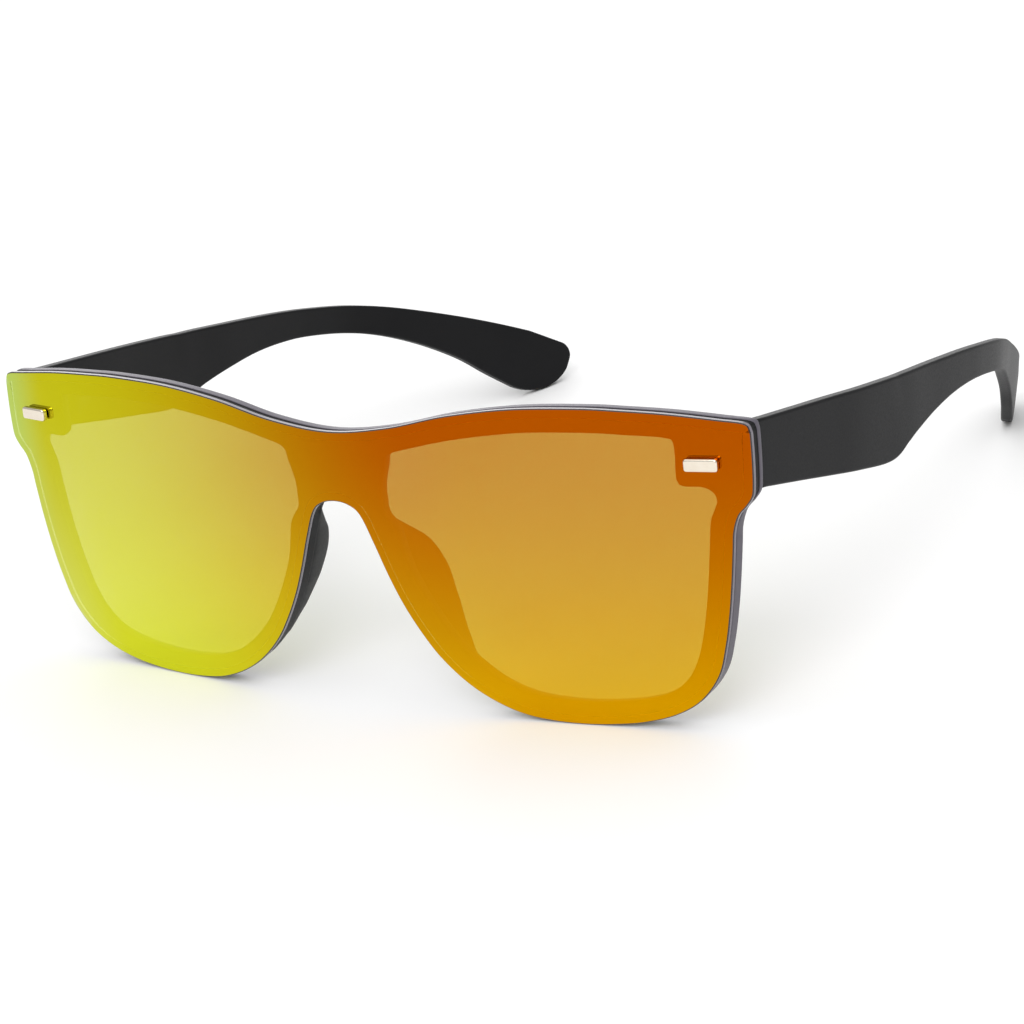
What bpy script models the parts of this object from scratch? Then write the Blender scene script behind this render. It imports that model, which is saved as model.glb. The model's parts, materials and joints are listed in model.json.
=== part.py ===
"""Mirrored shield sunglasses with a horned outline, open and standing on a table.

The front is modelled in the lens frame: X to the wearer's left, Y backwards, Z up, with the origin
on the front of the lens at its centre. Each hinge is modelled about its axis, which leans by the
pantoscopic tilt, and each temple about the same axis, splayed outwards. At the end the whole object is
tipped until the lower rims and the temple tips stand on the table, and its origin lies under the middle
of its box.
"""

import math

import bmesh
import bpy
import numpy as np
from mathutils import Matrix, Vector

# Lens, one curved shield
lens_half_width = 0.0710
brow_height = 0.0222
rim_drop = 0.0286
nose_half_width = 0.0241
nose_arch_height = 0.0056
lens_thickness = 0.0009
lens_edge_bevel = 0.00015
wrap_radius = 0.355
crown_radius = 0.298

# Moulded front behind the lens
lens_gap = 0.0003
frame_thickness = 0.0024
frame_inset = 0.0002
frame_brow_inset = 0.0005
frame_nose_inset = 0.0003
frame_edge_round = 0.0004
opening_back_chamfer = 0.0009
brow_rim_width = 0.0041
side_rim_width = 0.0044
lower_rim_width = 0.0034
nose_rim_width = 0.0036
bridge_half_width = 0.0082
end_block_width = 0.0128
end_block_height = 0.0113
block_corner_round = 0.0012
nose_corner_round = 0.0050

# Nose pads, moulded on the front
nose_pad_reach = 0.0065
nose_pad_flare = 0.0012
nose_pad_thickness = 0.0027
nose_pad_root_width = 0.0034
nose_pad_round = 0.0006

# Oblong rivets that hold the lens
rivet_length = 0.0053
rivet_height = 0.0020
rivet_proud = 0.00125
rivet_bevel = 0.00025
rivet_inset = 0.0077
rivet_level_share = 0.35
rivet_pin_radius = 0.0005
rivet_pin_spacing = 0.0030
rivet_pin_bite = 0.0017

# Three-knuckle metal hinges
hinge_level_share = 0.32
knuckle_radius = 0.0014
knuckle_height = 0.0018
middle_knuckle_height = 0.0016
knuckle_gap = 0.0002
leaf_thickness = 0.0009
leaf_corner = 0.0009
leaf_arm_inset = 0.0006
front_leaf_length = 0.0060
temple_leaf_length = 0.0108
leaf_bevel = 0.0002
leaf_step = 0.00012
hinge_pad_proud = 0.0021
hinge_pad_margin = 0.0006
hinge_pad_corner = 0.0009
hinge_screw_radius = 0.0006
hinge_screw_head_radius = 0.0011
hinge_screw_head_height = 0.0006
slot_width = 0.00035
slot_depth = 0.0003
leaf_screw_radius = 0.0005
leaf_screw_head_radius = 0.0008
leaf_screw_head_height = 0.0004
leaf_screw_bite = 0.0013
leaf_screw_stagger = 0.0009

# Temples
pantoscopic_tilt = math.radians(9.3)
temple_splay = math.radians(3.8)
temple_inset = 0.0008
temple_thickness = 0.0021
temple_corner_round = 0.0005
temple_reach = 0.1225
temple_root_height = 0.0104
temple_belly_height = 0.0131
temple_waist_height = 0.00515
temple_tip_height = 0.0117
temple_top_stand = 0.0053
temple_rise = 0.00115
ear_drop = 0.0095
tip_inset = 0.0247
tip_length = 0.0109
tip_round = 0.0028
tip_end_flat = 0.0003
tip_lean = math.radians(5)

# Clearances between pieces that meet
seat_gap = 0.0002
pin_gap = 0.00015
butt_gap = 0.0003
cut_overrun = 0.001

# Fineness of the faceted solids
round_steps = 16
outline_steps = 2
lens_rows = 6
merge_distance = 0.00001

# Finishes: colour, roughness and metallic value
orange_mirror = ((0.75, 0.36, 0.03), 0.08, 0.85)
matte_front = ((0.032, 0.032, 0.035), 0.55, 0.0)
matte_temple = ((0.030, 0.030, 0.032), 0.5, 0.0)
champagne = ((0.72, 0.66, 0.56), 0.3, 1.0)
black_steel = ((0.05, 0.05, 0.055), 0.4, 1.0)

for old in list(bpy.data.objects):
    bpy.data.objects.remove(old, do_unlink=True)

glasses = bpy.data.objects.new("glasses_origin", None)
bpy.context.collection.objects.link(glasses)


def finish(name, look):
    """One Principled material."""
    colour, roughness, metallic = look
    material = bpy.data.materials.new(name)
    material.use_nodes = True
    shader = material.node_tree.nodes["Principled BSDF"]
    shader.inputs["Base Color"].default_value = (*colour, 1)
    shader.inputs["Roughness"].default_value = roughness
    shader.inputs["Metallic"].default_value = metallic
    return material


def add_piece(name, shape, parent, look, sharp=math.radians(35)):
    """Turn a bmesh into a named object with its own finish, under its parent."""
    mesh = bpy.data.meshes.new(name)
    shape.to_mesh(mesh)
    shape.free()
    mesh.shade_smooth()
    mesh.set_sharp_from_angle(angle=sharp)
    piece = bpy.data.objects.new(name, mesh)
    bpy.context.collection.objects.link(piece)
    piece.parent = parent
    piece.data.materials.append(finish(name + " finish", look))
    return piece


def add_cutter(name, shape, parent):
    """A shape that only cuts or joins, never part of the model."""
    mesh = bpy.data.meshes.new(name)
    shape.to_mesh(mesh)
    shape.free()
    cutter = bpy.data.objects.new(name, mesh)
    bpy.context.collection.objects.link(cutter)
    cutter.parent = parent
    cutter.hide_render = True
    cutter.display_type = "WIRE"
    return cutter


def combine(piece, other, operation):
    """Join or cut a piece with another shape."""
    step = piece.modifiers.new(operation.lower() + " " + other.name, "BOOLEAN")
    step.operation = operation
    step.object = other
    step.solver = "EXACT"


def mirrored(shape, side):
    """Flip a left-hand shape for the right side, where side is -1."""
    if side < 0:
        bmesh.ops.scale(shape, vec=(-1, 1, 1), verts=shape.verts)
        bmesh.ops.reverse_faces(shape, faces=shape.faces)
    return shape


def add_box(shape, low, high):
    """An upright box between two corners."""
    low = Vector(low)
    high = Vector(high)
    made = bmesh.ops.create_cube(shape, size=1)
    bmesh.ops.scale(shape, vec=high - low, verts=made["verts"])
    bmesh.ops.translate(shape, vec=(low + high) / 2, verts=made["verts"])


def add_rod(shape, start, end, radius):
    """A round rod from one point to another."""
    start = Vector(start)
    end = Vector(end)
    along = end - start
    turn = along.to_track_quat("Z", "Y").to_matrix().to_4x4()
    place = Matrix.Translation((start + end) / 2) @ turn
    bmesh.ops.create_cone(
        shape, cap_ends=True, segments=round_steps, radius1=radius, radius2=radius,
        depth=along.length, matrix=place)


def bevel_all(shape, width, steep=math.radians(50)):
    """Chamfer every edge that is steeper than the given angle."""
    edges = [edge for edge in shape.edges if edge.calc_face_angle(0) > steep]
    bmesh.ops.bevel(shape, geom=edges, offset=width, segments=1, affect="EDGES", profile=0.5)


def loft(shape, rings, closed=False):
    """Skin rings of points in order; open lofts get flat ends."""
    rows = [[shape.verts.new(point) for point in ring] for ring in rings]
    count = len(rows[0])
    spans = len(rows) if closed else len(rows) - 1
    for k in range(spans):
        near = rows[k]
        far = rows[(k + 1) % len(rows)]
        for i in range(count):
            j = (i + 1) % count
            shape.faces.new((near[i], near[j], far[j], far[i]))
    if not closed:
        shape.faces.new(reversed(rows[0]))
        shape.faces.new(rows[-1])
    bmesh.ops.recalc_face_normals(shape, faces=shape.faces)


def spline(points, steps, before=None, after=None):
    """Catmull-Rom curve through the points: a few steps a span. Ends may be led by points beyond."""
    points = np.array(points, float)
    first = 2 * points[0] - points[1] if before is None else np.array(before)
    last = 2 * points[-1] - points[-2] if after is None else np.array(after)
    knots = np.vstack([first, points, last])
    share = (np.arange(steps) / steps)[:, None]
    spans = []
    for k in range(1, len(knots) - 2):
        a, b, c, d = knots[k - 1:k + 3]
        spans.append(
            b + share * (c - a) / 2
            + share ** 2 * (2 * a - 5 * b + 4 * c - d) / 2
            + share ** 3 * (3 * b - a - 3 * c + d) / 2)
    return np.vstack(spans + [points[-1:]])


def evenly(curve, count):
    """The same curve read at evenly spaced points."""
    lengths = np.linalg.norm(np.diff(curve, axis=0), axis=1)
    distance = np.concatenate([[0], np.cumsum(lengths)])
    wanted = np.linspace(0, distance[-1], count)
    return np.column_stack([np.interp(wanted, distance, column) for column in curve.T])


def surface_back(across):
    """How far the wrapped lens front lies behind its centre, at a straight distance from it."""
    return wrap_radius - np.sqrt(wrap_radius ** 2 - across ** 2)


def on_shield(outline, depth):
    """Wrap flat outline points (width along the arc, height) onto the lens front, at a depth behind."""
    outline = np.asarray(outline, float)
    across = wrap_radius * np.sin(outline[:, 0] / wrap_radius)
    back = surface_back(across) + outline[:, 1] ** 2 / (2 * crown_radius) + depth
    return np.column_stack([across, back, outline[:, 1]])


# Outline of the lens, left half, from the middle of the brow round to the top of the nose arch.
# Heights above the centre are shares of the brow height, and those below are shares of the rim drop.
brow_shares = [(0.0, 0.757), (0.153, 0.809), (0.306, 0.917), (0.461, 0.983), (0.617, 1.0),
               (0.72, 0.991), (0.82, 0.973), (0.929, 0.937), (0.985, 0.914)]
horn_shares = [(0.998, 0.865), (1.0, 0.79), (1.0, 0.64)]
# Widths of the side and the lower rim are shares of the way from the nose width to the half width.
side_shares = [(0.997, 0.50), (0.991, 0.42), (0.970, 0.355), (0.940, 0.285), (0.921, 0.175),
               (0.913, 0.047), (0.898, -0.142), (0.879, -0.321), (0.853, -0.502), (0.817, -0.671)]
lower_shares = [(0.747, -0.816), (0.655, -0.908), (0.545, -0.963), (0.436, -0.989),
                (0.325, -1.0), (0.213, -0.995), (0.104, -0.969), (0.0, -0.905)]
nose_shares = [(0.817, -0.809), (0.652, -0.676), (0.533, -0.536), (0.424, -0.372),
               (0.339, -0.206), (0.262, -0.030)]
arch_shares = [(0.183, 0.64), (0.10, 0.92), (0.0, 1.0)]
# The first points of the side lie beside the end block, and those after them beside the opening
points_beside_block = 4


def height(share):
    """A height above or below the lens centre."""
    if share > 0:
        return share * brow_height
    return share * rim_drop


def past_nose(share):
    """A width between the nose and the end of the lens."""
    return nose_half_width + share * (lens_half_width - nose_half_width)


brow_points = [(u * lens_half_width, height(v)) for u, v in brow_shares]
horn_points = [(u * lens_half_width, height(v)) for u, v in horn_shares]
side_points = [(past_nose(u), height(v)) for u, v in side_shares]
lower_points = [(past_nose(u), height(v)) for u, v in lower_shares]
nose_points = [(u * nose_half_width, height(v)) for u, v in nose_shares]
arch_points = [(u * nose_half_width, v * nose_arch_height) for u, v in arch_shares]
lens_points = np.array(
    brow_points + horn_points + side_points + lower_points + nose_points + arch_points)


def over_middle(point):
    """The same point on the other half."""
    return np.array([-point[0], point[1]])


def half_curve(points, steps):
    """Smooth curve from the brow's middle to the arch, level where it meets the other half."""
    return spline(points, steps, before=over_middle(points[1]), after=over_middle(points[-2]))


def inward_normals(points):
    """Unit normals that point into the shape, for points that run round it clockwise."""
    ahead = np.vstack([points[1:], over_middle(points[-2])])
    behind = np.vstack([over_middle(points[1]), points[:-1]])
    along = ahead - behind
    normals = np.column_stack([along[:, 1], -along[:, 0]])
    return normals / np.linalg.norm(normals, axis=1)[:, None]


def height_on(points, width):
    """Height of a run of points at a width."""
    run = np.array(sorted(map(tuple, points)))
    return float(np.interp(width, run[:, 0], run[:, 1]))


def width_on(points, level):
    """Width of a run of points at a height."""
    run = np.array(sorted(map(tuple, points), key=lambda point: point[1]))
    return float(np.interp(level, run[:, 1], run[:, 0]))


lens_normals = inward_normals(lens_points)
frame_front = lens_thickness + lens_gap
frame_back = frame_front + frame_thickness
block_inner = lens_half_width - end_block_width
block_bottom = height_on(brow_points, block_inner) - end_block_height


def weld_other_half(shape):
    """Mirror a left half over the middle plane and weld the two into one closed shape."""
    flat = [face for face in shape.faces if all(abs(v.co.x) < merge_distance for v in face.verts)]
    bmesh.ops.delete(shape, geom=flat, context="FACES")
    copy = bmesh.ops.duplicate(shape, geom=shape.verts[:] + shape.edges[:] + shape.faces[:])
    copied = [item for item in copy["geom"] if isinstance(item, bmesh.types.BMVert)]
    bmesh.ops.scale(shape, vec=(-1, 1, 1), verts=copied)
    bmesh.ops.remove_doubles(shape, verts=shape.verts, dist=merge_distance)
    bmesh.ops.recalc_face_normals(shape, faces=shape.faces)


# Shield lens: front and back sheets and a chamfered wall round them. Each layer is an inset of the
# outline and a depth. The sheets have columns from the brow down to the lower rim, and near the end
# of the brow from the horn down to the side, closing at the corner below the horn.
lens_layers = [(lens_edge_bevel, 0), (0, lens_edge_bevel),
               (0, lens_thickness - lens_edge_bevel), (lens_edge_bevel, lens_thickness)]
side_first = len(brow_points) + len(horn_points)
brow_end = outline_steps * (len(brow_points) - 2)
horn_corner = outline_steps * (side_first + 1)
side_joint = outline_steps * (side_first + points_beside_block + 1)
row_share = np.linspace(0, 1, lens_rows + 1)[:, None]
shape = bmesh.new()
edge_rows = []
for inset_by, depth in lens_layers:
    outline = half_curve(lens_points + lens_normals * inset_by, outline_steps)
    lower_run = outline[side_joint:][::-1]
    brow_run = evenly(outline[:brow_end + 1], len(lower_run))
    horn_run = outline[brow_end:horn_corner + 1]
    side_run = evenly(outline[horn_corner:side_joint + 1][::-1], len(horn_run))
    upper_edge = np.vstack([brow_run, horn_run[1:-1]])
    lower_edge = np.vstack([lower_run, side_run[1:-1]])
    corner = shape.verts.new(on_shield(horn_run[-1:], depth)[0])
    if depth in (0, lens_thickness):
        columns = []
        for top, bottom in zip(upper_edge, lower_edge):
            run = on_shield(top + row_share * (bottom - top), depth)
            columns.append([shape.verts.new(point) for point in run])
        for near, far in zip(columns[:-1], columns[1:]):
            for i in range(lens_rows):
                shape.faces.new((near[i], near[i + 1], far[i + 1], far[i]))
        for i in range(lens_rows):
            shape.faces.new((columns[-1][i], columns[-1][i + 1], corner))
        upper_row = [column[0] for column in columns]
        lower_row = [column[-1] for column in columns]
    else:
        upper_row = [shape.verts.new(point) for point in on_shield(upper_edge, depth)]
        lower_row = [shape.verts.new(point) for point in on_shield(lower_edge, depth)]
    edge_rows.append(upper_row + [corner] + lower_row[::-1])
for near, far in zip(edge_rows[:-1], edge_rows[1:]):
    for i in range(len(near) - 1):
        shape.faces.new((near[i], near[i + 1], far[i + 1], far[i]))
weld_other_half(shape)
shield_lens = add_piece("shield_lens", shape, glasses, orange_mirror)

# Front frame: a ring round each eye opening, welded at the bridge. Each point of the lens outline
# has its partner on the opening, and the bridge side of the opening faces the middle plane.
brow_inner = np.array(brow_points) + lens_normals[:len(brow_points)] * brow_rim_width
opening_top = height_on(brow_inner, bridge_half_width + nose_corner_round)
notch_top = height_on(brow_inner, block_inner - block_corner_round)
block_side_shares = (0.86, 0.30)
block_turn_shares = [(0.1, 0.11), (0.85, 0.0)]
block_floor_shares = [(0.85, 0.12), (1.17, 0.8), (1.26, 1.8), (1.17, 2.8)]
nose_corner_shares = [(0.20, 0.62), (0.35, 0.22), (1.0, 0.0)]
bridge_side_shares = [(0.18, -0.2), (0.04, 0.02), (0.0, 0.18), (0.03, 0.32), (0.10, 0.45)]
opening_top_run = slice(2, 6)


def inset(first, last, width):
    """Opening points that follow a run of the lens outline at a rim width."""
    return [tuple(point) for point in lens_points[first:last] + lens_normals[first:last] * width]


side_start = side_first + points_beside_block
lower_start = side_first + len(side_points)
nose_start = lower_start + len(lower_points)
arch_start = nose_start + len(nose_points)
opening_side = inset(side_start, side_start + 1, side_rim_width)[0]
level_run = opening_side[0] - block_inner
opening_points = np.array(
    [(bridge_half_width + u * nose_corner_round, opening_top - v * nose_corner_round)
     for u, v in nose_corner_shares]
    + [tuple(point) for point in brow_inner[opening_top_run]]
    + [(block_inner - block_corner_round, notch_top)]
    + [(block_inner, block_bottom + v * (notch_top - block_bottom)) for v in block_side_shares]
    + [(block_inner + u * block_corner_round, block_bottom + v * (notch_top - block_bottom))
       for u, v in block_turn_shares]
    + [(block_inner + u * level_run, block_bottom - v * block_corner_round)
       for u, v in block_floor_shares]
    + inset(side_start, lower_start, side_rim_width)
    + inset(lower_start, lower_start + 1, (side_rim_width + lower_rim_width) / 2)
    + inset(lower_start + 1, nose_start, lower_rim_width)
    + inset(nose_start, arch_start, nose_rim_width)
    + [(bridge_half_width + u * nose_corner_round,
        nose_arch_height + v * (opening_top - nose_arch_height)) for u, v in bridge_side_shares])

frame_insets = np.where(np.arange(len(lens_points)) < nose_start, frame_inset, frame_nose_inset)
middle_share = 1 - np.array(brow_points)[:, 0] / brow_points[-1][0]
frame_insets[:len(brow_points)] += (frame_brow_inset - frame_inset) * middle_share
frame_points = lens_points + lens_normals * frame_insets[:, None]
centre_steps = 3 * outline_steps
centre_share = np.arange(1, centre_steps)[:, None] / centre_steps
centre_line = frame_points[-1] + centre_share * (frame_points[0] - frame_points[-1])
opening_ahead = np.roll(opening_points, -1, axis=0) - np.roll(opening_points, 1, axis=0)
opening_normals = np.column_stack([-opening_ahead[:, 1], opening_ahead[:, 0]])
opening_normals /= np.linalg.norm(opening_normals, axis=1)[:, None]


def frame_edge(inset_by, depth):
    """The outer edge of the front's left ring, moved into the material."""
    edge = half_curve(frame_points + lens_normals * inset_by, outline_steps)
    return on_shield(np.vstack([edge, centre_line]), depth)


def opening_edge(inset_by, depth):
    """The edge of the eye opening, moved into the material."""
    points = opening_points + opening_normals * inset_by
    edge = spline(np.vstack([points, points[:1]]), outline_steps, before=points[-1], after=points[1])
    return on_shield(edge[:-1], depth)


chamfer = frame_edge_round
rings = np.stack([
    frame_edge(chamfer, frame_front), opening_edge(chamfer, frame_front),
    opening_edge(0, frame_front + chamfer), opening_edge(0, frame_back - opening_back_chamfer),
    opening_edge(opening_back_chamfer, frame_back), frame_edge(chamfer, frame_back),
    frame_edge(0, frame_back - chamfer), frame_edge(0, frame_front + chamfer)], 1)
shape = bmesh.new()
loft(shape, rings, closed=True)
weld_other_half(shape)
front_frame = add_piece("front_frame", shape, glasses, matte_front)

# Nose pads: fins that grow out of the back of the front beside the nose and lean outwards
pad_height_shares = (0.64, 0.38, 0.0, -0.087, -0.19, -0.30, -0.455, -0.63, -0.79)
pad_reach_shares = (0.0, 0.2, 0.52, 0.86, 1.02, 1.01, 0.79, 0.41, 0.0)
pad_turn_share = 0.14
pad_sink_share = 1.5
pad_root = (frame_front + frame_back) / 2
pad_low = frame_back - pad_sink_share * frame_edge_round
nose_side = np.vstack([nose_points, arch_points])
pad_rings = []
for height_share, reach_share in zip(pad_height_shares, pad_reach_shares):
    level = height_share * (nose_arch_height if height_share > 0 else rim_drop)
    near = width_on(nose_side, level) + frame_nose_inset
    lean = near + nose_pad_flare * reach_share
    back = pad_low + (frame_back - pad_low + nose_pad_reach) * reach_share
    turned = (back - pad_root) * pad_turn_share
    section = [(near, pad_root), (lean, back - turned), (lean + nose_pad_round, back),
               (lean + nose_pad_thickness - nose_pad_round, back),
               (lean + nose_pad_thickness, back - turned),
               (near + nose_pad_root_width, pad_root)]
    pad_rings.append(np.vstack([on_shield([(x, level)], depth) for x, depth in section]).ravel())
pads = bmesh.new()
for side in (1, -1):
    one = bmesh.new()
    loft(one, spline(pad_rings, outline_steps).reshape(-1, len(section), 3))
    mirrored(one, side)
    mesh = bpy.data.meshes.new("nose pad half")
    one.to_mesh(mesh)
    one.free()
    pads.from_mesh(mesh)
    bpy.data.meshes.remove(mesh)
combine(front_frame, add_cutter("nose_pads", pads, glasses), "UNION")

# Place of the hinge axis: it stands back from the end block by the hinge pad, the gap and the knuckle
corner_share = 1 - math.sqrt(0.5)
temple_outer = wrap_radius * math.sin(lens_half_width / wrap_radius) - temple_inset
axis_across = temple_outer - temple_thickness - seat_gap - knuckle_radius
hinge_level = block_bottom + hinge_level_share * end_block_height
pad_face = -(knuckle_radius + seat_gap)
axis_stand = (hinge_pad_proud - pad_face) * math.cos(pantoscopic_tilt)
axis_back = surface_back(axis_across) + hinge_level ** 2 / (2 * crown_radius) + frame_back + axis_stand
hinge_half_height = knuckle_height + middle_knuckle_height / 2 + knuckle_gap
settling_rounds = 8


def from_hinge_to_lens(back, up):
    """Back and up from the hinge axis, turned into the lens frame."""
    turned_back = back * math.cos(pantoscopic_tilt) + up * math.sin(pantoscopic_tilt)
    turned_up = up * math.cos(pantoscopic_tilt) - back * math.sin(pantoscopic_tilt)
    return axis_back + turned_back, hinge_level + turned_up


def back_to_front(across, up, depth, splay=0):
    """How far behind the hinge axis the shield surface lies, at a depth behind the lens front.

    The distance is measured in a frame that is turned outwards about the axis by the splay, and is
    worked out by going back and forth between the two until it settles."""
    back = pad_face
    for _ in range(settling_rounds):
        hinge_across = across * math.cos(splay) + back * math.sin(splay)
        hinge_back = back * math.cos(splay) - across * math.sin(splay)
        lens_back, lens_up = from_hinge_to_lens(hinge_back, up)
        wanted = surface_back(axis_across + hinge_across) + lens_up ** 2 / (2 * crown_radius) + depth
        back += wanted - lens_back
    return back


# Stations of the temple, as shares: along the reach, how far the top edge has risen, how far it has
# dropped towards the ear, how much the height follows the root, the belly and the tip, where the
# waist takes the rest, and how far the outer face has curved inwards.
station_shares = [
    (0.00, 0.00, 0.00, 1.00, 0.00, 0.00, 0.000),
    (0.08, 0.19, 0.00, 0.69, 0.31, 0.00, 0.000),
    (0.15, 0.36, 0.00, 0.40, 0.60, 0.00, 0.000),
    (0.22, 0.47, 0.00, 0.16, 0.84, 0.00, 0.000),
    (0.30, 0.62, 0.00, 0.00, 1.00, 0.00, 0.020),
    (0.34, 0.76, 0.00, 0.00, 0.75, 0.00, 0.036),
    (0.375, 0.83, 0.00, 0.00, 0.61, 0.00, 0.054),
    (0.43, 0.92, 0.00, 0.00, 0.37, 0.00, 0.090),
    (0.49, 0.99, 0.00, 0.00, 0.18, 0.00, 0.125),
    (0.55, 1.00, 0.00, 0.00, 0.065, 0.00, 0.165),
    (0.61, 1.00, 0.02, 0.00, 0.01, 0.00, 0.213),
    (0.69, 1.00, 0.08, 0.00, 0.00, 0.01, 0.306),
    (0.76, 1.00, 0.20, 0.00, 0.00, 0.06, 0.438),
    (0.83, 1.00, 0.39, 0.00, 0.00, 0.20, 0.595),
    (0.90, 1.00, 0.61, 0.00, 0.00, 0.455, 0.750),
    (0.955, 1.00, 0.81, 0.00, 0.00, 0.78, 0.880),
    (1.00, 1.00, 1.00, 0.00, 0.00, 1.00, 1.000)]
# The heel of the tip is rounded over a share of its length, and sections lie at shares of that
heel_length_share = 0.96
tip_end_shares = np.array([1.0, 0.62, 0.36, 0.17, 0.05, 0.0])


def rounded_off(length, depth, from_end):
    """How much a quarter ellipse takes off the edge at these distances from the end."""
    short_share = np.maximum(1 - from_end / length, 0)
    return depth * (1 - np.sqrt(1 - short_share ** 2))


def temple_rings():
    """Rounded oblong sections carried along the temple, from the joint with the front to the tip."""
    along, rise, drop, root, belly, tip, inwards = spline(station_shares, outline_steps).T
    half = (root * temple_root_height + belly * temple_belly_height + tip * temple_tip_height
            + (1 - root - belly - tip) * temple_waist_height) / 2
    top = temple_top_stand + rise * temple_rise - drop * ear_drop
    line = np.column_stack([-inwards * tip_inset, along * temple_reach, top - half])
    heading = np.gradient(line, axis=0)
    heading /= np.linalg.norm(heading, axis=1)[:, None]
    # The tip runs straight on along the last heading, and its end is rounded above and below.
    heel_length = heel_length_share * tip_length
    heel_depth = temple_tip_height - tip_round - tip_end_flat
    from_end = tip_end_shares * heel_length
    line = np.vstack([line, line[-1] + (tip_length - from_end)[:, None] * heading[-1]])
    heading = np.vstack([heading, np.tile(heading[-1], (len(from_end), 1))])
    above = np.append(half, half[-1] - rounded_off(tip_round, tip_round, from_end))
    below = np.append(half, half[-1] - rounded_off(heel_length, heel_depth, from_end))
    width = np.full(len(line), temple_thickness)
    width[-1] -= temple_corner_round
    side = width / 2
    nook = np.minimum(temple_corner_round, (above + below) / 4)
    bite = nook * corner_share
    lean = np.append(tip, np.ones(len(from_end))) * math.sin(tip_lean)
    up = np.column_stack([-lean, -heading[:, 2], heading[:, 1]])
    up /= np.linalg.norm(up, axis=1)[:, None]
    out = np.cross(heading, up)
    out /= np.linalg.norm(out, axis=1)[:, None]
    middle = line - out * temple_thickness / 2
    section = [(side, above - nook), (side - bite, above - bite), (side - nook, above),
               (nook - side, above), (bite - side, above - bite), (-side, above - nook),
               (-side, nook - below), (bite - side, bite - below), (nook - side, -below),
               (side - nook, -below), (side - bite, bite - below), (side, nook - below)]
    rings = np.stack([middle + out * x[:, None] + up * z[:, None] for x, z in section], 1)
    rings[:, :, 0] += temple_outer - axis_across
    for point in rings[0]:
        point[1] = back_to_front(point[0], point[2], frame_back + butt_gap, temple_splay)
    return rings


def add_turned(shape, profile, place):
    """A solid turned round an axis from (radius, distance) pairs, put in its place."""
    angles = np.arange(round_steps) * 2 * math.pi / round_steps
    rings = [[place @ Vector((radius * math.cos(a), radius * math.sin(a), run)) for a in angles]
             for radius, run in profile]
    loft(shape, rings)


def add_prism(shape, outline, low, high, axis):
    """A flat outline given a thickness along one axis."""
    def stand(point, depth):
        corner = list(point)
        corner.insert(axis, depth)
        return corner
    loft(shape, [[stand(point, low) for point in outline], [stand(point, high) for point in outline]])


side_names = {1: "left", -1: "right"}
front_screw_shares = (0.80, 0.50)
temple_screw_shares = (0.38, 0.76)
temple_pieces = []

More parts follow.
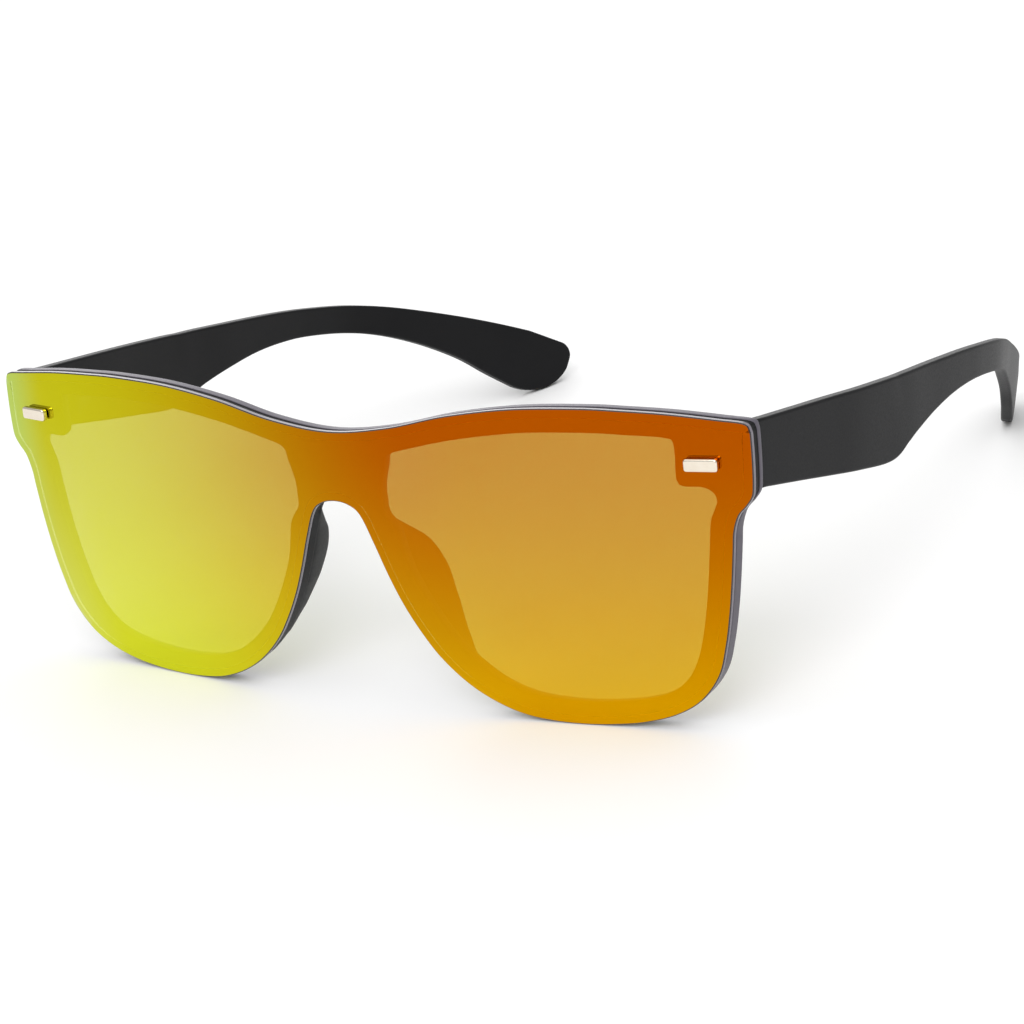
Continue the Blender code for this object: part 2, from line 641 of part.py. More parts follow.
for side, side_name in side_names.items():
    hinge = bpy.data.objects.new("hinge_axis_" + side_name, None)
    bpy.context.collection.objects.link(hinge)
    hinge.parent = glasses
    hinge.location = (side * axis_across, axis_back, hinge_level)
    hinge.rotation_euler = (-pantoscopic_tilt, 0, 0)
    arm = bpy.data.objects.new("temple_arm_" + side_name, None)
    bpy.context.collection.objects.link(arm)
    arm.parent = hinge
    arm.rotation_euler = (0, 0, -side * temple_splay)

    # Hinge pad: the flat seat that the front leaf lies on, rooted in the end block behind the lens
    pad_half = hinge_half_height + hinge_pad_margin
    pad_inner = -front_leaf_length - hinge_pad_margin
    pad_outer = knuckle_radius - seat_gap
    pad_outline = [(pad_inner + hinge_pad_corner, -pad_half), (pad_outer, -pad_half),
                   (pad_outer, pad_half), (pad_inner + hinge_pad_corner, pad_half),
                   (pad_inner, pad_half - hinge_pad_corner), (pad_inner, hinge_pad_corner - pad_half)]
    shape = bmesh.new()
    loft(shape, [[(x, pad_face, z) for x, z in pad_outline],
                 [(x, back_to_front(x, z, pad_root), z) for x, z in pad_outline]])
    pad = add_cutter("hinge_pad_" + side_name, mirrored(shape, side), hinge)
    combine(front_frame, pad, "UNION")

    # Front leaf: two knuckles on arms, and two holes for its screws
    clear = knuckle_radius + knuckle_gap
    middle = middle_knuckle_height / 2 + knuckle_gap
    leaf_low = -knuckle_radius + seat_gap / 2
    shape = bmesh.new()
    for low, high in ((-hinge_half_height, -middle), (middle, hinge_half_height)):
        add_rod(shape, (0, 0, low), (0, 0, high), knuckle_radius)
    front_hinge = add_piece("front_hinge_" + side_name, mirrored(shape, side), hinge, black_steel)
    plate_half = hinge_half_height - leaf_step
    arm_end = knuckle_radius - leaf_arm_inset
    arm_inner = middle + leaf_step
    comb = [(-front_leaf_length, leaf_corner - plate_half),
            (leaf_corner - front_leaf_length, -plate_half), (-arm_end, -plate_half),
            (-arm_end, -arm_inner), (-clear, -arm_inner), (-clear, arm_inner), (-arm_end, arm_inner),
            (-arm_end, plate_half), (leaf_corner - front_leaf_length, plate_half),
            (-front_leaf_length, plate_half - leaf_corner)]
    shape = bmesh.new()
    add_prism(shape, comb, leaf_low, leaf_low + leaf_thickness, 1)
    plate = add_cutter("front_leaf_plate_" + side_name, mirrored(shape, side), hinge)
    combine(front_hinge, plate, "UNION")

    # Temple leaf: one knuckle between the other two
    shape = bmesh.new()
    add_rod(shape, (0, 0, -middle_knuckle_height / 2), (0, 0, middle_knuckle_height / 2), knuckle_radius)
    temple_hinge = add_piece("temple_hinge_" + side_name, mirrored(shape, side), arm, black_steel)
    tongue_half = middle_knuckle_height / 2 - leaf_step
    tongue = [(arm_end, -tongue_half), (clear, -tongue_half), (clear, -plate_half),
              (temple_leaf_length - leaf_corner, -plate_half),
              (temple_leaf_length, leaf_corner - plate_half),
              (temple_leaf_length, plate_half - leaf_corner),
              (temple_leaf_length - leaf_corner, plate_half), (clear, plate_half),
              (clear, tongue_half), (arm_end, tongue_half)]
    leaf_high = knuckle_radius - seat_gap / 2
    shape = bmesh.new()
    add_prism(shape, tongue, leaf_high - leaf_thickness, leaf_high, 0)
    plate = add_cutter("temple_leaf_plate_" + side_name, mirrored(shape, side), arm)
    combine(temple_hinge, plate, "UNION")

    # Hinge screw: slotted head above the top knuckle, shank down through all three
    shape = bmesh.new()
    add_rod(shape, (0, 0, -hinge_half_height - knuckle_gap), (0, 0, hinge_half_height + knuckle_gap),
            hinge_screw_radius + pin_gap)
    bore = add_cutter("hinge_bore_" + side_name, mirrored(shape, side), hinge)
    combine(front_hinge, bore, "DIFFERENCE")
    combine(temple_hinge, bore, "DIFFERENCE")
    head_low = hinge_half_height + seat_gap
    head_high = head_low + hinge_screw_head_height
    shape = bmesh.new()
    add_turned(shape, [(hinge_screw_radius, -hinge_half_height), (hinge_screw_radius, head_low),
                       (hinge_screw_head_radius, head_low),
                       (hinge_screw_head_radius, head_high - leaf_bevel),
                       (hinge_screw_head_radius - leaf_bevel, head_high)], Matrix())
    screw = add_piece("hinge_screw_" + side_name, mirrored(shape, side), hinge, black_steel)
    shape = bmesh.new()
    add_box(shape, (-2 * hinge_screw_head_radius, -slot_width / 2, head_high - slot_depth),
            (2 * hinge_screw_head_radius, slot_width / 2, head_high + cut_overrun))
    combine(screw, add_cutter("hinge_screw_slot_" + side_name, shape, hinge), "DIFFERENCE")

    # Temple: sections carried along its line
    shape = bmesh.new()
    loft(shape, temple_rings())
    temple = add_piece("temple_" + side_name, mirrored(shape, side), arm, matte_temple)
    temple_pieces.append(temple)

    # Leaf screws: two hold each leaf
    screw_length = leaf_thickness + seat_gap + leaf_screw_bite
    front_top = leaf_low + leaf_thickness + seat_gap / 2
    temple_top = leaf_high - leaf_thickness - seat_gap / 2
    inner_screw, outer_screw = [share * front_leaf_length for share in front_screw_shares]
    front_screw, rear_screw = [share * temple_leaf_length for share in temple_screw_shares]
    seats = [
        ("front_leaf_screw", "inner", hinge, (-inner_screw, front_top, leaf_screw_stagger), "X"),
        ("front_leaf_screw", "outer", hinge, (-outer_screw, front_top, -leaf_screw_stagger), "X"),
        ("temple_leaf_screw", "front", arm, (temple_top, front_screw, 0), "Y"),
        ("temple_leaf_screw", "rear", arm, (temple_top, rear_screw, 0), "Y")]
    for kind, which, holder, seat, axis in seats:
        place = Matrix.Translation(seat) @ Matrix.Rotation(-math.pi / 2, 4, axis)
        shape = bmesh.new()
        add_turned(shape, [(leaf_screw_radius, -screw_length), (leaf_screw_radius, 0),
                           (leaf_screw_head_radius, 0),
                           (leaf_screw_head_radius, leaf_screw_head_height / 2),
                           (leaf_screw_head_radius - leaf_bevel, leaf_screw_head_height)], place)
        name = kind + "_" + side_name + "_" + which
        screw = add_piece(name, mirrored(shape, side), holder, black_steel)
        shape = bmesh.new()
        add_turned(shape, [(leaf_screw_radius + pin_gap, -screw_length - pin_gap),
                           (leaf_screw_radius + pin_gap, cut_overrun)], place)
        hole = add_cutter(name + "_hole", mirrored(shape, side), holder)
        if axis == "X":
            combine(front_hinge, hole, "DIFFERENCE")
            combine(front_frame, hole, "DIFFERENCE")
        else:
            combine(temple_hinge, hole, "DIFFERENCE")
            combine(temple, hole, "DIFFERENCE")

    # Lens rivet: an oblong head on the lens front and two pins through it into the end block
    rivet_width = lens_half_width - rivet_inset
    rivet_level = block_bottom + rivet_level_share * end_block_height
    spot = on_shield([(rivet_width, rivet_level)], 0)[0]
    turn = (-math.atan(rivet_level / crown_radius), 0, side * rivet_width / wrap_radius)
    seat = bpy.data.objects.new("rivet_seat_" + side_name, None)
    bpy.context.collection.objects.link(seat)
    seat.parent = glasses
    seat.location = (side * spot[0], spot[1], spot[2])
    seat.rotation_euler = turn
    shape = bmesh.new()
    add_box(shape, (-rivet_length / 2, -rivet_proud, -rivet_height / 2),
            (rivet_length / 2, -pin_gap, rivet_height / 2))
    bevel_all(shape, rivet_bevel)
    rivet = add_piece("lens_rivet_" + side_name, shape, seat, champagne)
    pins = bmesh.new()
    holes = bmesh.new()
    pin_end = frame_front + rivet_pin_bite
    for across in (-rivet_pin_spacing / 2, rivet_pin_spacing / 2):
        add_rod(pins, (across, -rivet_proud / 2, 0), (across, pin_end, 0), rivet_pin_radius)
        add_rod(holes, (across, -cut_overrun, 0), (across, pin_end + pin_gap, 0),
                rivet_pin_radius + pin_gap)
    combine(rivet, add_cutter("rivet_pins_" + side_name, pins, seat), "UNION")
    hole = add_cutter("rivet_holes_" + side_name, holes, seat)
    combine(shield_lens, hole, "DIFFERENCE")
    combine(front_frame, hole, "DIFFERENCE")

# Stand the open glasses on the table: tip them until the rims and the temple tips are level
bpy.context.view_layer.update()
graph = bpy.context.evaluated_depsgraph_get()


def world_points(pieces):
    """Corner points of pieces as they stand now."""
    points = []
    for piece in pieces:
        solid = piece.evaluated_get(graph)
        points += [piece.matrix_world @ vertex.co for vertex in solid.data.vertices]
    return np.array(points)


rims = world_points([shield_lens, front_frame])
arms = world_points(temple_pieces)


def lowest(points, tip):
    """Lowest height of the points when the object is tipped about X."""
    return float(np.min(points[:, 1] * math.sin(tip) + points[:, 2] * math.cos(tip)))


high_tip = math.radians(20)
low_tip = -high_tip
tip_halvings = 50
for _ in range(tip_halvings):
    tip = (low_tip + high_tip) / 2
    if lowest(arms, tip) > lowest(rims, tip):
        high_tip = tip
    else:
        low_tip = tip
whole = np.vstack([rims, arms])
tipped_back = whole[:, 1] * math.cos(tip) - whole[:, 2] * math.sin(tip)
glasses.rotation_euler = (tip, 0, 0)
glasses.location = (0, -(tipped_back.min() + tipped_back.max()) / 2, -lowest(whole, tip))
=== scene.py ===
"""Horned shield sunglasses: the finish and the fine surfaces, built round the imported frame."""

import json
import math

import bmesh
import bpy
import numpy as np
from mathutils import Matrix, Vector


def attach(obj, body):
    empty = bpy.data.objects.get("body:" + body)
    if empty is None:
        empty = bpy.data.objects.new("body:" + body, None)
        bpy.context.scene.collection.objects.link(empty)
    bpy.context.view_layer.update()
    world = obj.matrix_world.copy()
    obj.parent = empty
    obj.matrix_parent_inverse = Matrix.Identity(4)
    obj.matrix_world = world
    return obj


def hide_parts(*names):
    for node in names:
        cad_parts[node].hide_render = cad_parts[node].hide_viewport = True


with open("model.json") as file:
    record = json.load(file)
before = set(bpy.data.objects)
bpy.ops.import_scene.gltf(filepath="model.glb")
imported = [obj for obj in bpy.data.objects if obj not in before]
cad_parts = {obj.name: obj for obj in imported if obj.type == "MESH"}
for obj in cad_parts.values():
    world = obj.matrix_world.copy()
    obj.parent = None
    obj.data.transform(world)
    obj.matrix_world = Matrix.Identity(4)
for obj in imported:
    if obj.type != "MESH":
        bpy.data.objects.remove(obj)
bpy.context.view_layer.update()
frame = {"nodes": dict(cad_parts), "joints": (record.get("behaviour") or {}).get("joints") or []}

mm = 0.001

# Moulded front. The real one is injection-moulded nylon, one piece with its nose pads and with the
# seats of the two hinges, and it carries all the rest. It follows the lens's curve, so the section
# starts with the shield surface and the outline that both share.
lens_half_width = 71.0 * mm
brow_height = 22.2 * mm
rim_drop = 28.6 * mm
nose_half_width = 24.1 * mm
nose_arch_height = 5.6 * mm
wrap_radius = 355 * mm
crown_radius = 298 * mm
lens_thickness = 0.9 * mm
lens_gap = 0.3 * mm
frame_thickness = 2.4 * mm
frame_front = lens_thickness + lens_gap
frame_back = frame_front + frame_thickness
frame_inset = 0.2 * mm
frame_brow_inset = 0.25 * mm
frame_nose_inset = 0.3 * mm
frame_round = 0.4 * mm
opening_back_round = 0.9 * mm
opening_back_depth = 1.5 * mm
brow_rim_width = 4.1 * mm
side_rim_width = 4.4 * mm
lower_rim_width = 3.4 * mm
nose_rim_width = 3.6 * mm
bridge_half_width = 8.2 * mm
end_block_width = 12.8 * mm
end_block_height = 11.3 * mm
block_corner_round = 1.2 * mm
nose_corner_round = 5.0 * mm

# Points of the lens outline, left half, from the middle of the brow round to the top of the nose
# arch: widths are shares of the half width, or of the way from the nose to it, and heights are
# shares of the brow height above the centre and of the rim drop below it.
brow_shares = [(0.0, 0.757), (0.153, 0.809), (0.306, 0.917), (0.461, 0.983), (0.617, 1.0),
               (0.72, 0.991), (0.82, 0.973), (0.929, 0.937), (0.985, 0.914)]
horn_shares = [(0.998, 0.865), (1.0, 0.79), (1.0, 0.64)]
side_shares = [(0.997, 0.50), (0.991, 0.42), (0.970, 0.355), (0.940, 0.285), (0.921, 0.175),
               (0.913, 0.047), (0.898, -0.142), (0.879, -0.321), (0.853, -0.502), (0.817, -0.671)]
lower_shares = [(0.747, -0.816), (0.655, -0.908), (0.545, -0.963), (0.436, -0.989),
                (0.325, -1.0), (0.213, -0.995), (0.104, -0.969), (0.0, -0.905)]
nose_shares = [(0.817, -0.809), (0.652, -0.676), (0.533, -0.536), (0.424, -0.372),
               (0.339, -0.206), (0.262, -0.030)]
arch_shares = [(0.183, 0.64), (0.10, 0.92), (0.0, 1.0)]
points_beside_block = 4


def height(share):
    """A height: its share of the brow height above the lens centre, or of the rim drop below it."""
    return share * (brow_height if share > 0 else rim_drop)


def past_nose(share):
    """A width: the nose width plus a share of the way from there to the end of the lens."""
    return nose_half_width + share * (lens_half_width - nose_half_width)


def smooth_curve(points, steps, before=None, after=None):
    """Catmull-Rom curve: each span is the cubic whose slope at a point is half the step between
    that point's neighbours, read at a number of steps a span."""
    points = np.array(points, float)
    first = 2 * points[0] - points[1] if before is None else before
    last = 2 * points[-1] - points[-2] if after is None else after
    knots = np.vstack([first, points, last])
    a, b, c, d = (knots[k:len(knots) - 3 + k][:, None] for k in range(4))
    t = (np.arange(steps) / steps)[None, :, None]
    spans = (b + t * (c - a) / 2 + t ** 2 * (2 * a - 5 * b + 4 * c - d) / 2
             + t ** 3 * (3 * b - a - 3 * c + d) / 2)
    return np.vstack([spans.reshape(-1, points.shape[1]), points[-1:]])


def inward_normals(points):
    """Unit normals of the half outline that point into the lens: the chord between a point's
    neighbours turned by a right angle, with the other half's points beyond the two ends."""
    over_middle = np.array([-1, 1])
    ahead = np.vstack([points[1:], points[-2] * over_middle])
    behind = np.vstack([points[1] * over_middle, points[:-1]])
    along = ahead - behind
    normals = np.column_stack([along[:, 1], -along[:, 0]])
    return normals / np.linalg.norm(normals, axis=1)[:, None]


def half_curve(points, steps):
    """The half outline as one smooth curve that crosses the middle plane level."""
    over_middle = np.array([-1, 1])
    return smooth_curve(points, steps, points[1] * over_middle, points[-2] * over_middle)


def on_shield(flat, depth):
    """Wrap (width, height) onto the lens front at a depth behind it: the width is an arc of the
    wrap radius, and the surface falls back by the height squared over twice the crown radius."""
    turn = flat[..., 0] / wrap_radius
    back = wrap_radius * (1 - np.cos(turn)) + flat[..., 1] ** 2 / (2 * crown_radius) + depth
    return np.stack([wrap_radius * np.sin(turn), back, flat[..., 1]], -1)


brow_points = np.array([(u * lens_half_width, height(v)) for u, v in brow_shares])
horn_points = np.array([(u * lens_half_width, height(v)) for u, v in horn_shares])
side_points = np.array([(past_nose(u), height(v)) for u, v in side_shares])
lower_points = np.array([(past_nose(u), height(v)) for u, v in lower_shares])
nose_points = np.array([(u * nose_half_width, height(v)) for u, v in nose_shares])
arch_points = np.array([(u * nose_half_width, v * nose_arch_height) for u, v in arch_shares])
lens_points = np.vstack(
    [brow_points, horn_points, side_points, lower_points, nose_points, arch_points])
lens_normals = inward_normals(lens_points)

# Where the hinge axis lies in the lens frame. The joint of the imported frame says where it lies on
# the table, so the two together stand the lens frame on the table.
pantoscopic_tilt = math.radians(9.3)
temple_inset = 0.8 * mm
temple_thickness = 2.1 * mm
seat_gap = 0.2 * mm
knuckle_radius = 1.4 * mm
hinge_pad_proud = 2.1 * mm
hinge_level_share = 0.32
block_inner = lens_half_width - end_block_width
block_bottom = np.interp(block_inner, brow_points[:, 0], brow_points[:, 1]) - end_block_height
temple_outer = wrap_radius * math.sin(lens_half_width / wrap_radius) - temple_inset
axis_across = temple_outer - temple_thickness - seat_gap - knuckle_radius
hinge_level = block_bottom + hinge_level_share * end_block_height
pad_face = -(knuckle_radius + seat_gap)
axis_stand = (hinge_pad_proud - pad_face) * math.cos(pantoscopic_tilt)
axis_back = (wrap_radius - math.sqrt(wrap_radius ** 2 - axis_across ** 2)
             + hinge_level ** 2 / (2 * crown_radius) + frame_back + axis_stand)
left_joint = next(joint for joint in frame["joints"] if joint["name"] == "left_temple_fold")
axis_lean = math.atan2(left_joint["axis"][1], left_joint["axis"][2])
stand_turn = Matrix.Rotation(pantoscopic_tilt - axis_lean, 4, "X")
hinge_in_lens = Vector((axis_across, axis_back, hinge_level))
stand_shift = Vector(left_joint["pos_m"]) - stand_turn @ hinge_in_lens
lens_to_table = Matrix.Translation(stand_shift) @ stand_turn
side_names = {1: "left", -1: "right"}


def moved(points, place):
    """The same points turned and shifted by a matrix."""
    turn = np.array(place.to_3x3())
    return np.asarray(points) @ turn.T + np.array(place.translation)


def grid_faces(rows, columns, round_rows=False, round_columns=False, start=0):
    """Quads between neighbouring points of a rows by columns grid, closed on itself where asked."""
    near = np.arange(rows if round_rows else rows - 1)
    left = np.arange(columns if round_columns else columns - 1)
    far = (near + 1) % rows
    right = (left + 1) % columns
    corners = [(near, left), (near, right), (far, right), (far, left)]
    quads = [row[:, None] * columns + column[None, :] for row, column in corners]
    return start + np.stack(quads, -1).reshape(-1, 4)


def tube_faces(rings, count):
    """Faces of a tube of closed rings of points, with one face over each end."""
    last = (rings - 1) * count
    ends = [list(range(count)), list(range(last, last + count))]
    return grid_faces(rings, count, round_columns=True).tolist() + ends


def make_mesh(name, points, faces, slots=None, merge=0.0002 * mm):
    """A mesh from points and faces: points that coincide are merged, faces turned outwards."""
    mesh = bpy.data.meshes.new(name)
    places = np.asarray(points).reshape(-1, 3).tolist()
    mesh.from_pydata(places, [], [list(map(int, face)) for face in faces])
    if slots is not None:
        mesh.polygons.foreach_set("material_index", slots)
    shape = bmesh.new()
    shape.from_mesh(mesh)
    bmesh.ops.remove_doubles(shape, verts=shape.verts, dist=merge)
    bmesh.ops.recalc_face_normals(shape, faces=shape.faces)
    shape.to_mesh(mesh)
    shape.free()
    return mesh


def make_piece(name, mesh, body, node, materials=(), sharp=40):
    """Show a mesh in place of a CAD node: it rides on the node's body, and the node is hidden.
    Edges that turn by more than the sharp angle, in degrees, stay sharp."""
    mesh.shade_smooth()
    mesh.set_sharp_from_angle(angle=math.radians(sharp))
    piece = bpy.data.objects.new(name, mesh)
    bpy.context.scene.collection.objects.link(piece)
    for material in materials:
        mesh.materials.append(material)
    level = piece.modifiers.new("flat faces stay flat", "WEIGHTED_NORMAL")
    level.keep_sharp = True
    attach(piece, body)
    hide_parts(node)


def joined(base, others):
    """The mesh of a base shape united with other shapes, all in place."""
    holder = bpy.data.objects.new("joining", base)
    bpy.context.scene.collection.objects.link(holder)
    helpers = []
    for other in others:
        helper = bpy.data.objects.new("joining other", other)
        bpy.context.scene.collection.objects.link(helper)
        step = holder.modifiers.new("join", "BOOLEAN")
        step.operation = "UNION"
        step.object = helper
        step.solver = "EXACT"
        helpers.append(helper)
    bpy.context.view_layer.update()
    graph = bpy.context.evaluated_depsgraph_get()
    mesh = bpy.data.meshes.new_from_object(holder.evaluated_get(graph))
    for helper in helpers + [holder]:
        bpy.data.objects.remove(helper)
    return mesh


def linear(colour):
    """A colour given as sRGB hex, such as b08d57, as linear red, green, blue and full alpha."""
    channels = np.array([int(colour[k:k + 2], 16) for k in (0, 2, 4)]) / 255
    dark = channels / 12.92
    light = ((channels + 0.055) / 1.055) ** 2.4
    return (*np.where(channels <= 0.04045, dark, light), 1.0)


def add(tree, kind, settings=None, **links):
    """Add a node: its own settings by name, and each input by name as a value or a socket. An input
    that shares its name with another one is given by its number, such as i6."""
    node = tree.nodes.new("ShaderNode" + kind)
    for key, value in (settings or {}).items():
        setattr(node, key, value)
    for key, value in links.items():
        place = int(key[1:]) if key[0] == "i" and key[1:].isdigit() else key.replace("_", " ")
        if isinstance(value, bpy.types.NodeSocket):
            tree.links.new(value, node.inputs[place])
        else:
            node.inputs[place].default_value = value
    return node


def new_material(name):
    """An empty node material and its tree."""
    material = bpy.data.materials.new(name)
    material.use_nodes = True
    material.node_tree.nodes.clear()
    return material, material.node_tree


def matte_nylon(name, colour, pale_colour, roughness):
    """Injection-moulded nylon out of a spark-eroded mould: a near black, slightly uneven tone and a
    fine matte grain. Its pits are about 0.12 mm across, drawn at 0.25 mm so that they show."""
    material, tree = new_material(name)
    place = add(tree, "TexCoord").outputs["Object"]
    tone = add(tree, "TexNoise", Vector=place, Scale=1 / (9 * mm), Detail=3.0)
    grain = add(tree, "TexNoise", Vector=place, Scale=1 / (0.25 * mm), Detail=2.0)
    blend = add(tree, "Mix", {"data_type": "RGBA"}, Factor=tone.outputs["Fac"],
                i6=linear(colour), i7=linear(pale_colour))
    rough = add(tree, "MapRange", Value=grain.outputs["Fac"], From_Min=0.3, From_Max=0.7,
                To_Min=roughness - 0.05, To_Max=roughness + 0.05)
    bump = add(tree, "Bump", Strength=0.25, Distance=0.02 * mm, Height=grain.outputs["Fac"])
    shader = add(tree, "BsdfPrincipled", Base_Color=blend.outputs[2], Roughness=rough.outputs[0],
                 IOR=1.53, Specular_IOR_Level=0.15, Normal=bump.outputs["Normal"])
    add(tree, "OutputMaterial", Surface=shader.outputs[0])
    return material


# The outer wall beside the lens has a paler band: painted sheen, for the light that the edge
# catches
front_finishes = [matte_nylon("matte moulded nylon", "0c0c0e", "131315", 0.5),
                  matte_nylon("nylon edge with painted sheen", "57535c", "635f68", 0.35)]

# The fine front: a ring round each eye opening with rounded edges, joined at the bridge. Each point
# of the outline has its partner on the opening.
outline_steps = 10
centre_spans = 3
arc_steps = 5
flat_steps = 4
middle_tolerance = 0.001 * mm

# Points of the eye opening, from its nose corner at the brow round to the bridge. The corner's are
# shares of its round, the notch's of its height or its round, and the bridge's of the way from the
# arch to the brow. All others follow the lens outline at a rim width.
brow_inner = brow_points + lens_normals[:len(brow_points)] * brow_rim_width
opening_top = np.interp(bridge_half_width + nose_corner_round, brow_inner[:, 0], brow_inner[:, 1])
notch_top = np.interp(block_inner - block_corner_round, brow_inner[:, 0], brow_inner[:, 1])
nose_corner_shares = [(0.20, 0.62), (0.35, 0.22), (1.0, 0.0)]
opening_top_run = slice(2, 6)
block_side_shares = (0.86, 0.30)
block_turn_shares = [(0.1, 0.11), (0.85, 0.0)]
block_floor_shares = [(0.85, 0.12), (1.17, 0.8), (1.26, 1.8), (1.17, 2.8)]
bridge_side_shares = [(0.40, -0.54), (0.04, -0.23), (0.0, 0.0), (0.0, 0.16), (0.03, 0.31),
                      (0.10, 0.45)]
side_first = len(brow_points) + len(horn_points)
side_start = side_first + points_beside_block
lower_start = side_first + len(side_points)
nose_start = lower_start + len(lower_points)
arch_start = nose_start + len(nose_points)


def rim_run(first, last, width):
    """Opening points that follow a run of the lens outline at a rim width."""
    return lens_points[first:last] + lens_normals[first:last] * width


level_run = rim_run(side_start, side_start + 1, side_rim_width)[0, 0] - block_inner
opening_points = np.vstack([
    [(bridge_half_width + u * nose_corner_round, opening_top - v * nose_corner_round)
     for u, v in nose_corner_shares],
    brow_inner[opening_top_run],
    [(block_inner - block_corner_round, notch_top)],
    [(block_inner, block_bottom + v * (notch_top - block_bottom)) for v in block_side_shares],
    [(block_inner + u * block_corner_round, block_bottom + v * (notch_top - block_bottom))
     for u, v in block_turn_shares],
    [(block_inner + u * level_run, block_bottom - v * block_corner_round)
     for u, v in block_floor_shares],
    rim_run(side_start, lower_start, side_rim_width),
    rim_run(lower_start, lower_start + 1, (side_rim_width + lower_rim_width) / 2),
    rim_run(lower_start + 1, nose_start, lower_rim_width),
    rim_run(nose_start, arch_start - 1, nose_rim_width),
    [(bridge_half_width + u * nose_corner_round,
      nose_arch_height + v * (opening_top - nose_arch_height)) for u, v in bridge_side_shares]])
opening_ahead = np.roll(opening_points, -1, axis=0) - np.roll(opening_points, 1, axis=0)
opening_normals = np.column_stack([-opening_ahead[:, 1], opening_ahead[:, 0]])
opening_normals /= np.linalg.norm(opening_normals, axis=1)[:, None]
frame_insets = np.where(np.arange(len(lens_points)) < nose_start, frame_inset, frame_nose_inset)
middle_share = 1 - brow_points[:, 0] / brow_points[-1, 0]
frame_insets[:len(brow_points)] += (frame_brow_inset - frame_inset) * middle_share
frame_points = lens_points + lens_normals * frame_insets[:, None]
centre_count = centre_spans * outline_steps
centre_share = np.arange(1, centre_count)[:, None] / centre_count
centre_line = frame_points[-1] + centre_share * (frame_points[0] - frame_points[-1])


def frame_edge(inset):
    """The outer edge of the left ring, moved into the material, and the cut at the middle plane."""
    return np.vstack([half_curve(frame_points + lens_normals * inset, outline_steps), centre_line])


def opening_edge(inset):
    """The edge of the eye opening, moved into the material."""
    points = opening_points + opening_normals * inset
    closed = np.vstack([points, points[:1]])
    return smooth_curve(closed, outline_steps, points[-1], points[1])[:-1]


# The outer edge is stepped back behind the lens, deepest at the horns, so that a dark groove shows
# between the two. The groove's depth follows the outline, from the middle of the brow to the arch.
groove_inset = 0.15 * mm
groove_round = 0.12 * mm
rim_groove = 0.15 * mm
brow_groove = 0.9 * mm
horn_groove = 1.3 * mm
horn_first = len(brow_points)
arch_top = len(lens_points) - 1
groove_at = [0, horn_first - 2, horn_first, side_first + 2, side_first + 4, arch_top]
groove_depths = [brow_groove, brow_groove, horn_groove, horn_groove, rim_groove, rim_groove]
edge_count = len(half_curve(lens_points, outline_steps)) + centre_count - 1
outline_place = np.minimum(np.arange(edge_count) / outline_steps, arch_top)
groove = np.interp(outline_place, groove_at, groove_depths)


def between(share, outer_inset, inner_inset):
    """A line round the ring at a share of the way from its outer edge to the opening."""
    return (1 - share) * frame_edge(outer_inset) + share * opening_edge(inner_inset)


# The section of the ring as loops round it: the step behind the lens, then with a quarter arc at
# each edge the outer wall, the back, the wall of the opening and the front. The band of painted
# sheen takes the outer wall from the brow to the nose.
arc = np.linspace(0, math.pi / 2, arc_steps + 1)
round_off = list(zip(1 - np.sin(arc), 1 - np.cos(arc)))
across_share = np.linspace(0, 1, flat_steps + 1)[1:-1]
step_loops = [(frame_edge(groove_inset), frame_front + depth) for depth in (0, groove)]
wall_loops = (
    [(frame_edge(groove_round * a), frame_front + groove + groove_round * d) for a, d in round_off]
    + [(frame_edge(frame_round * a), frame_back - frame_round * d) for a, d in round_off[::-1]])
inner_loops = (
    [(between(w, frame_round, opening_back_round), frame_back) for w in across_share]
    + [(opening_edge(opening_back_round * a), frame_back - opening_back_depth * d)
       for a, d in round_off]
    + [(opening_edge(frame_round * a), frame_front + frame_round * d) for a, d in round_off[::-1]]
    + [(between(w, groove_inset, frame_round), frame_front) for w in across_share[::-1]])
loops = step_loops + wall_loops + inner_loops
ring = np.stack([on_shield(flat, depth) for flat, depth in loops], 1)
wall_first = len(step_loops)
wall_last = wall_first + len(wall_loops) - arc_steps // 2 - 1
# Painted sheen: these faces of the outer wall take the paler nylon finish
satin = np.zeros((len(ring), len(loops)), int)
satin[:nose_start * outline_steps, wall_first:wall_last] = 1
ring_faces = grid_faces(len(ring), len(loops), True, True)
at_middle = np.abs(ring[:, :, 0].ravel()) < middle_tolerance
shown = ~at_middle[ring_faces].all(axis=1)
ring_slots = satin.ravel()[shown]
ring_faces = ring_faces[shown]
both = np.vstack([ring.reshape(-1, 3), ring.reshape(-1, 3) * (-1, 1, 1)])
both_faces = np.vstack([ring_faces, ring_faces[:, ::-1] + ring.shape[0] * ring.shape[1]])
ring_mesh = make_mesh("front ring", both, both_faces, np.tile(ring_slots, 2))

# Nose pads, fins that grow out of the back beside the nose and lean outwards
nose_pad_reach = 6.5 * mm
nose_pad_flare = 1.2 * mm
nose_pad_thickness = 2.7 * mm
nose_pad_root_width = 3.4 * mm
nose_pad_round = 0.6 * mm
pad_height_shares = (0.64, 0.38, 0.0, -0.087, -0.19, -0.30, -0.455, -0.63, -0.79)
pad_reach_shares = (0.0, 0.2, 0.52, 0.86, 1.02, 1.01, 0.79, 0.41, 0.0)
pad_turn_share = 0.14
pad_sink_share = 1.5
pad_rounds = 3
pad_root = (frame_front + frame_back) / 2
pad_low = frame_back - pad_sink_share * frame_round
nose_side = np.vstack([nose_points, arch_points])
stations = smooth_curve(np.column_stack([
    [share * (nose_arch_height if share > 0 else rim_drop) for share in pad_height_shares],
    pad_reach_shares]), outline_steps)
level, reach = stations.T
near = np.interp(level, nose_side[:, 1], nose_side[:, 0]) + frame_nose_inset
flared = near + nose_pad_flare * reach
at_root = np.full_like(near, pad_root)
pad_back = pad_low + (frame_back - pad_low + nose_pad_reach) * reach
turned = (pad_back - pad_root) * pad_turn_share
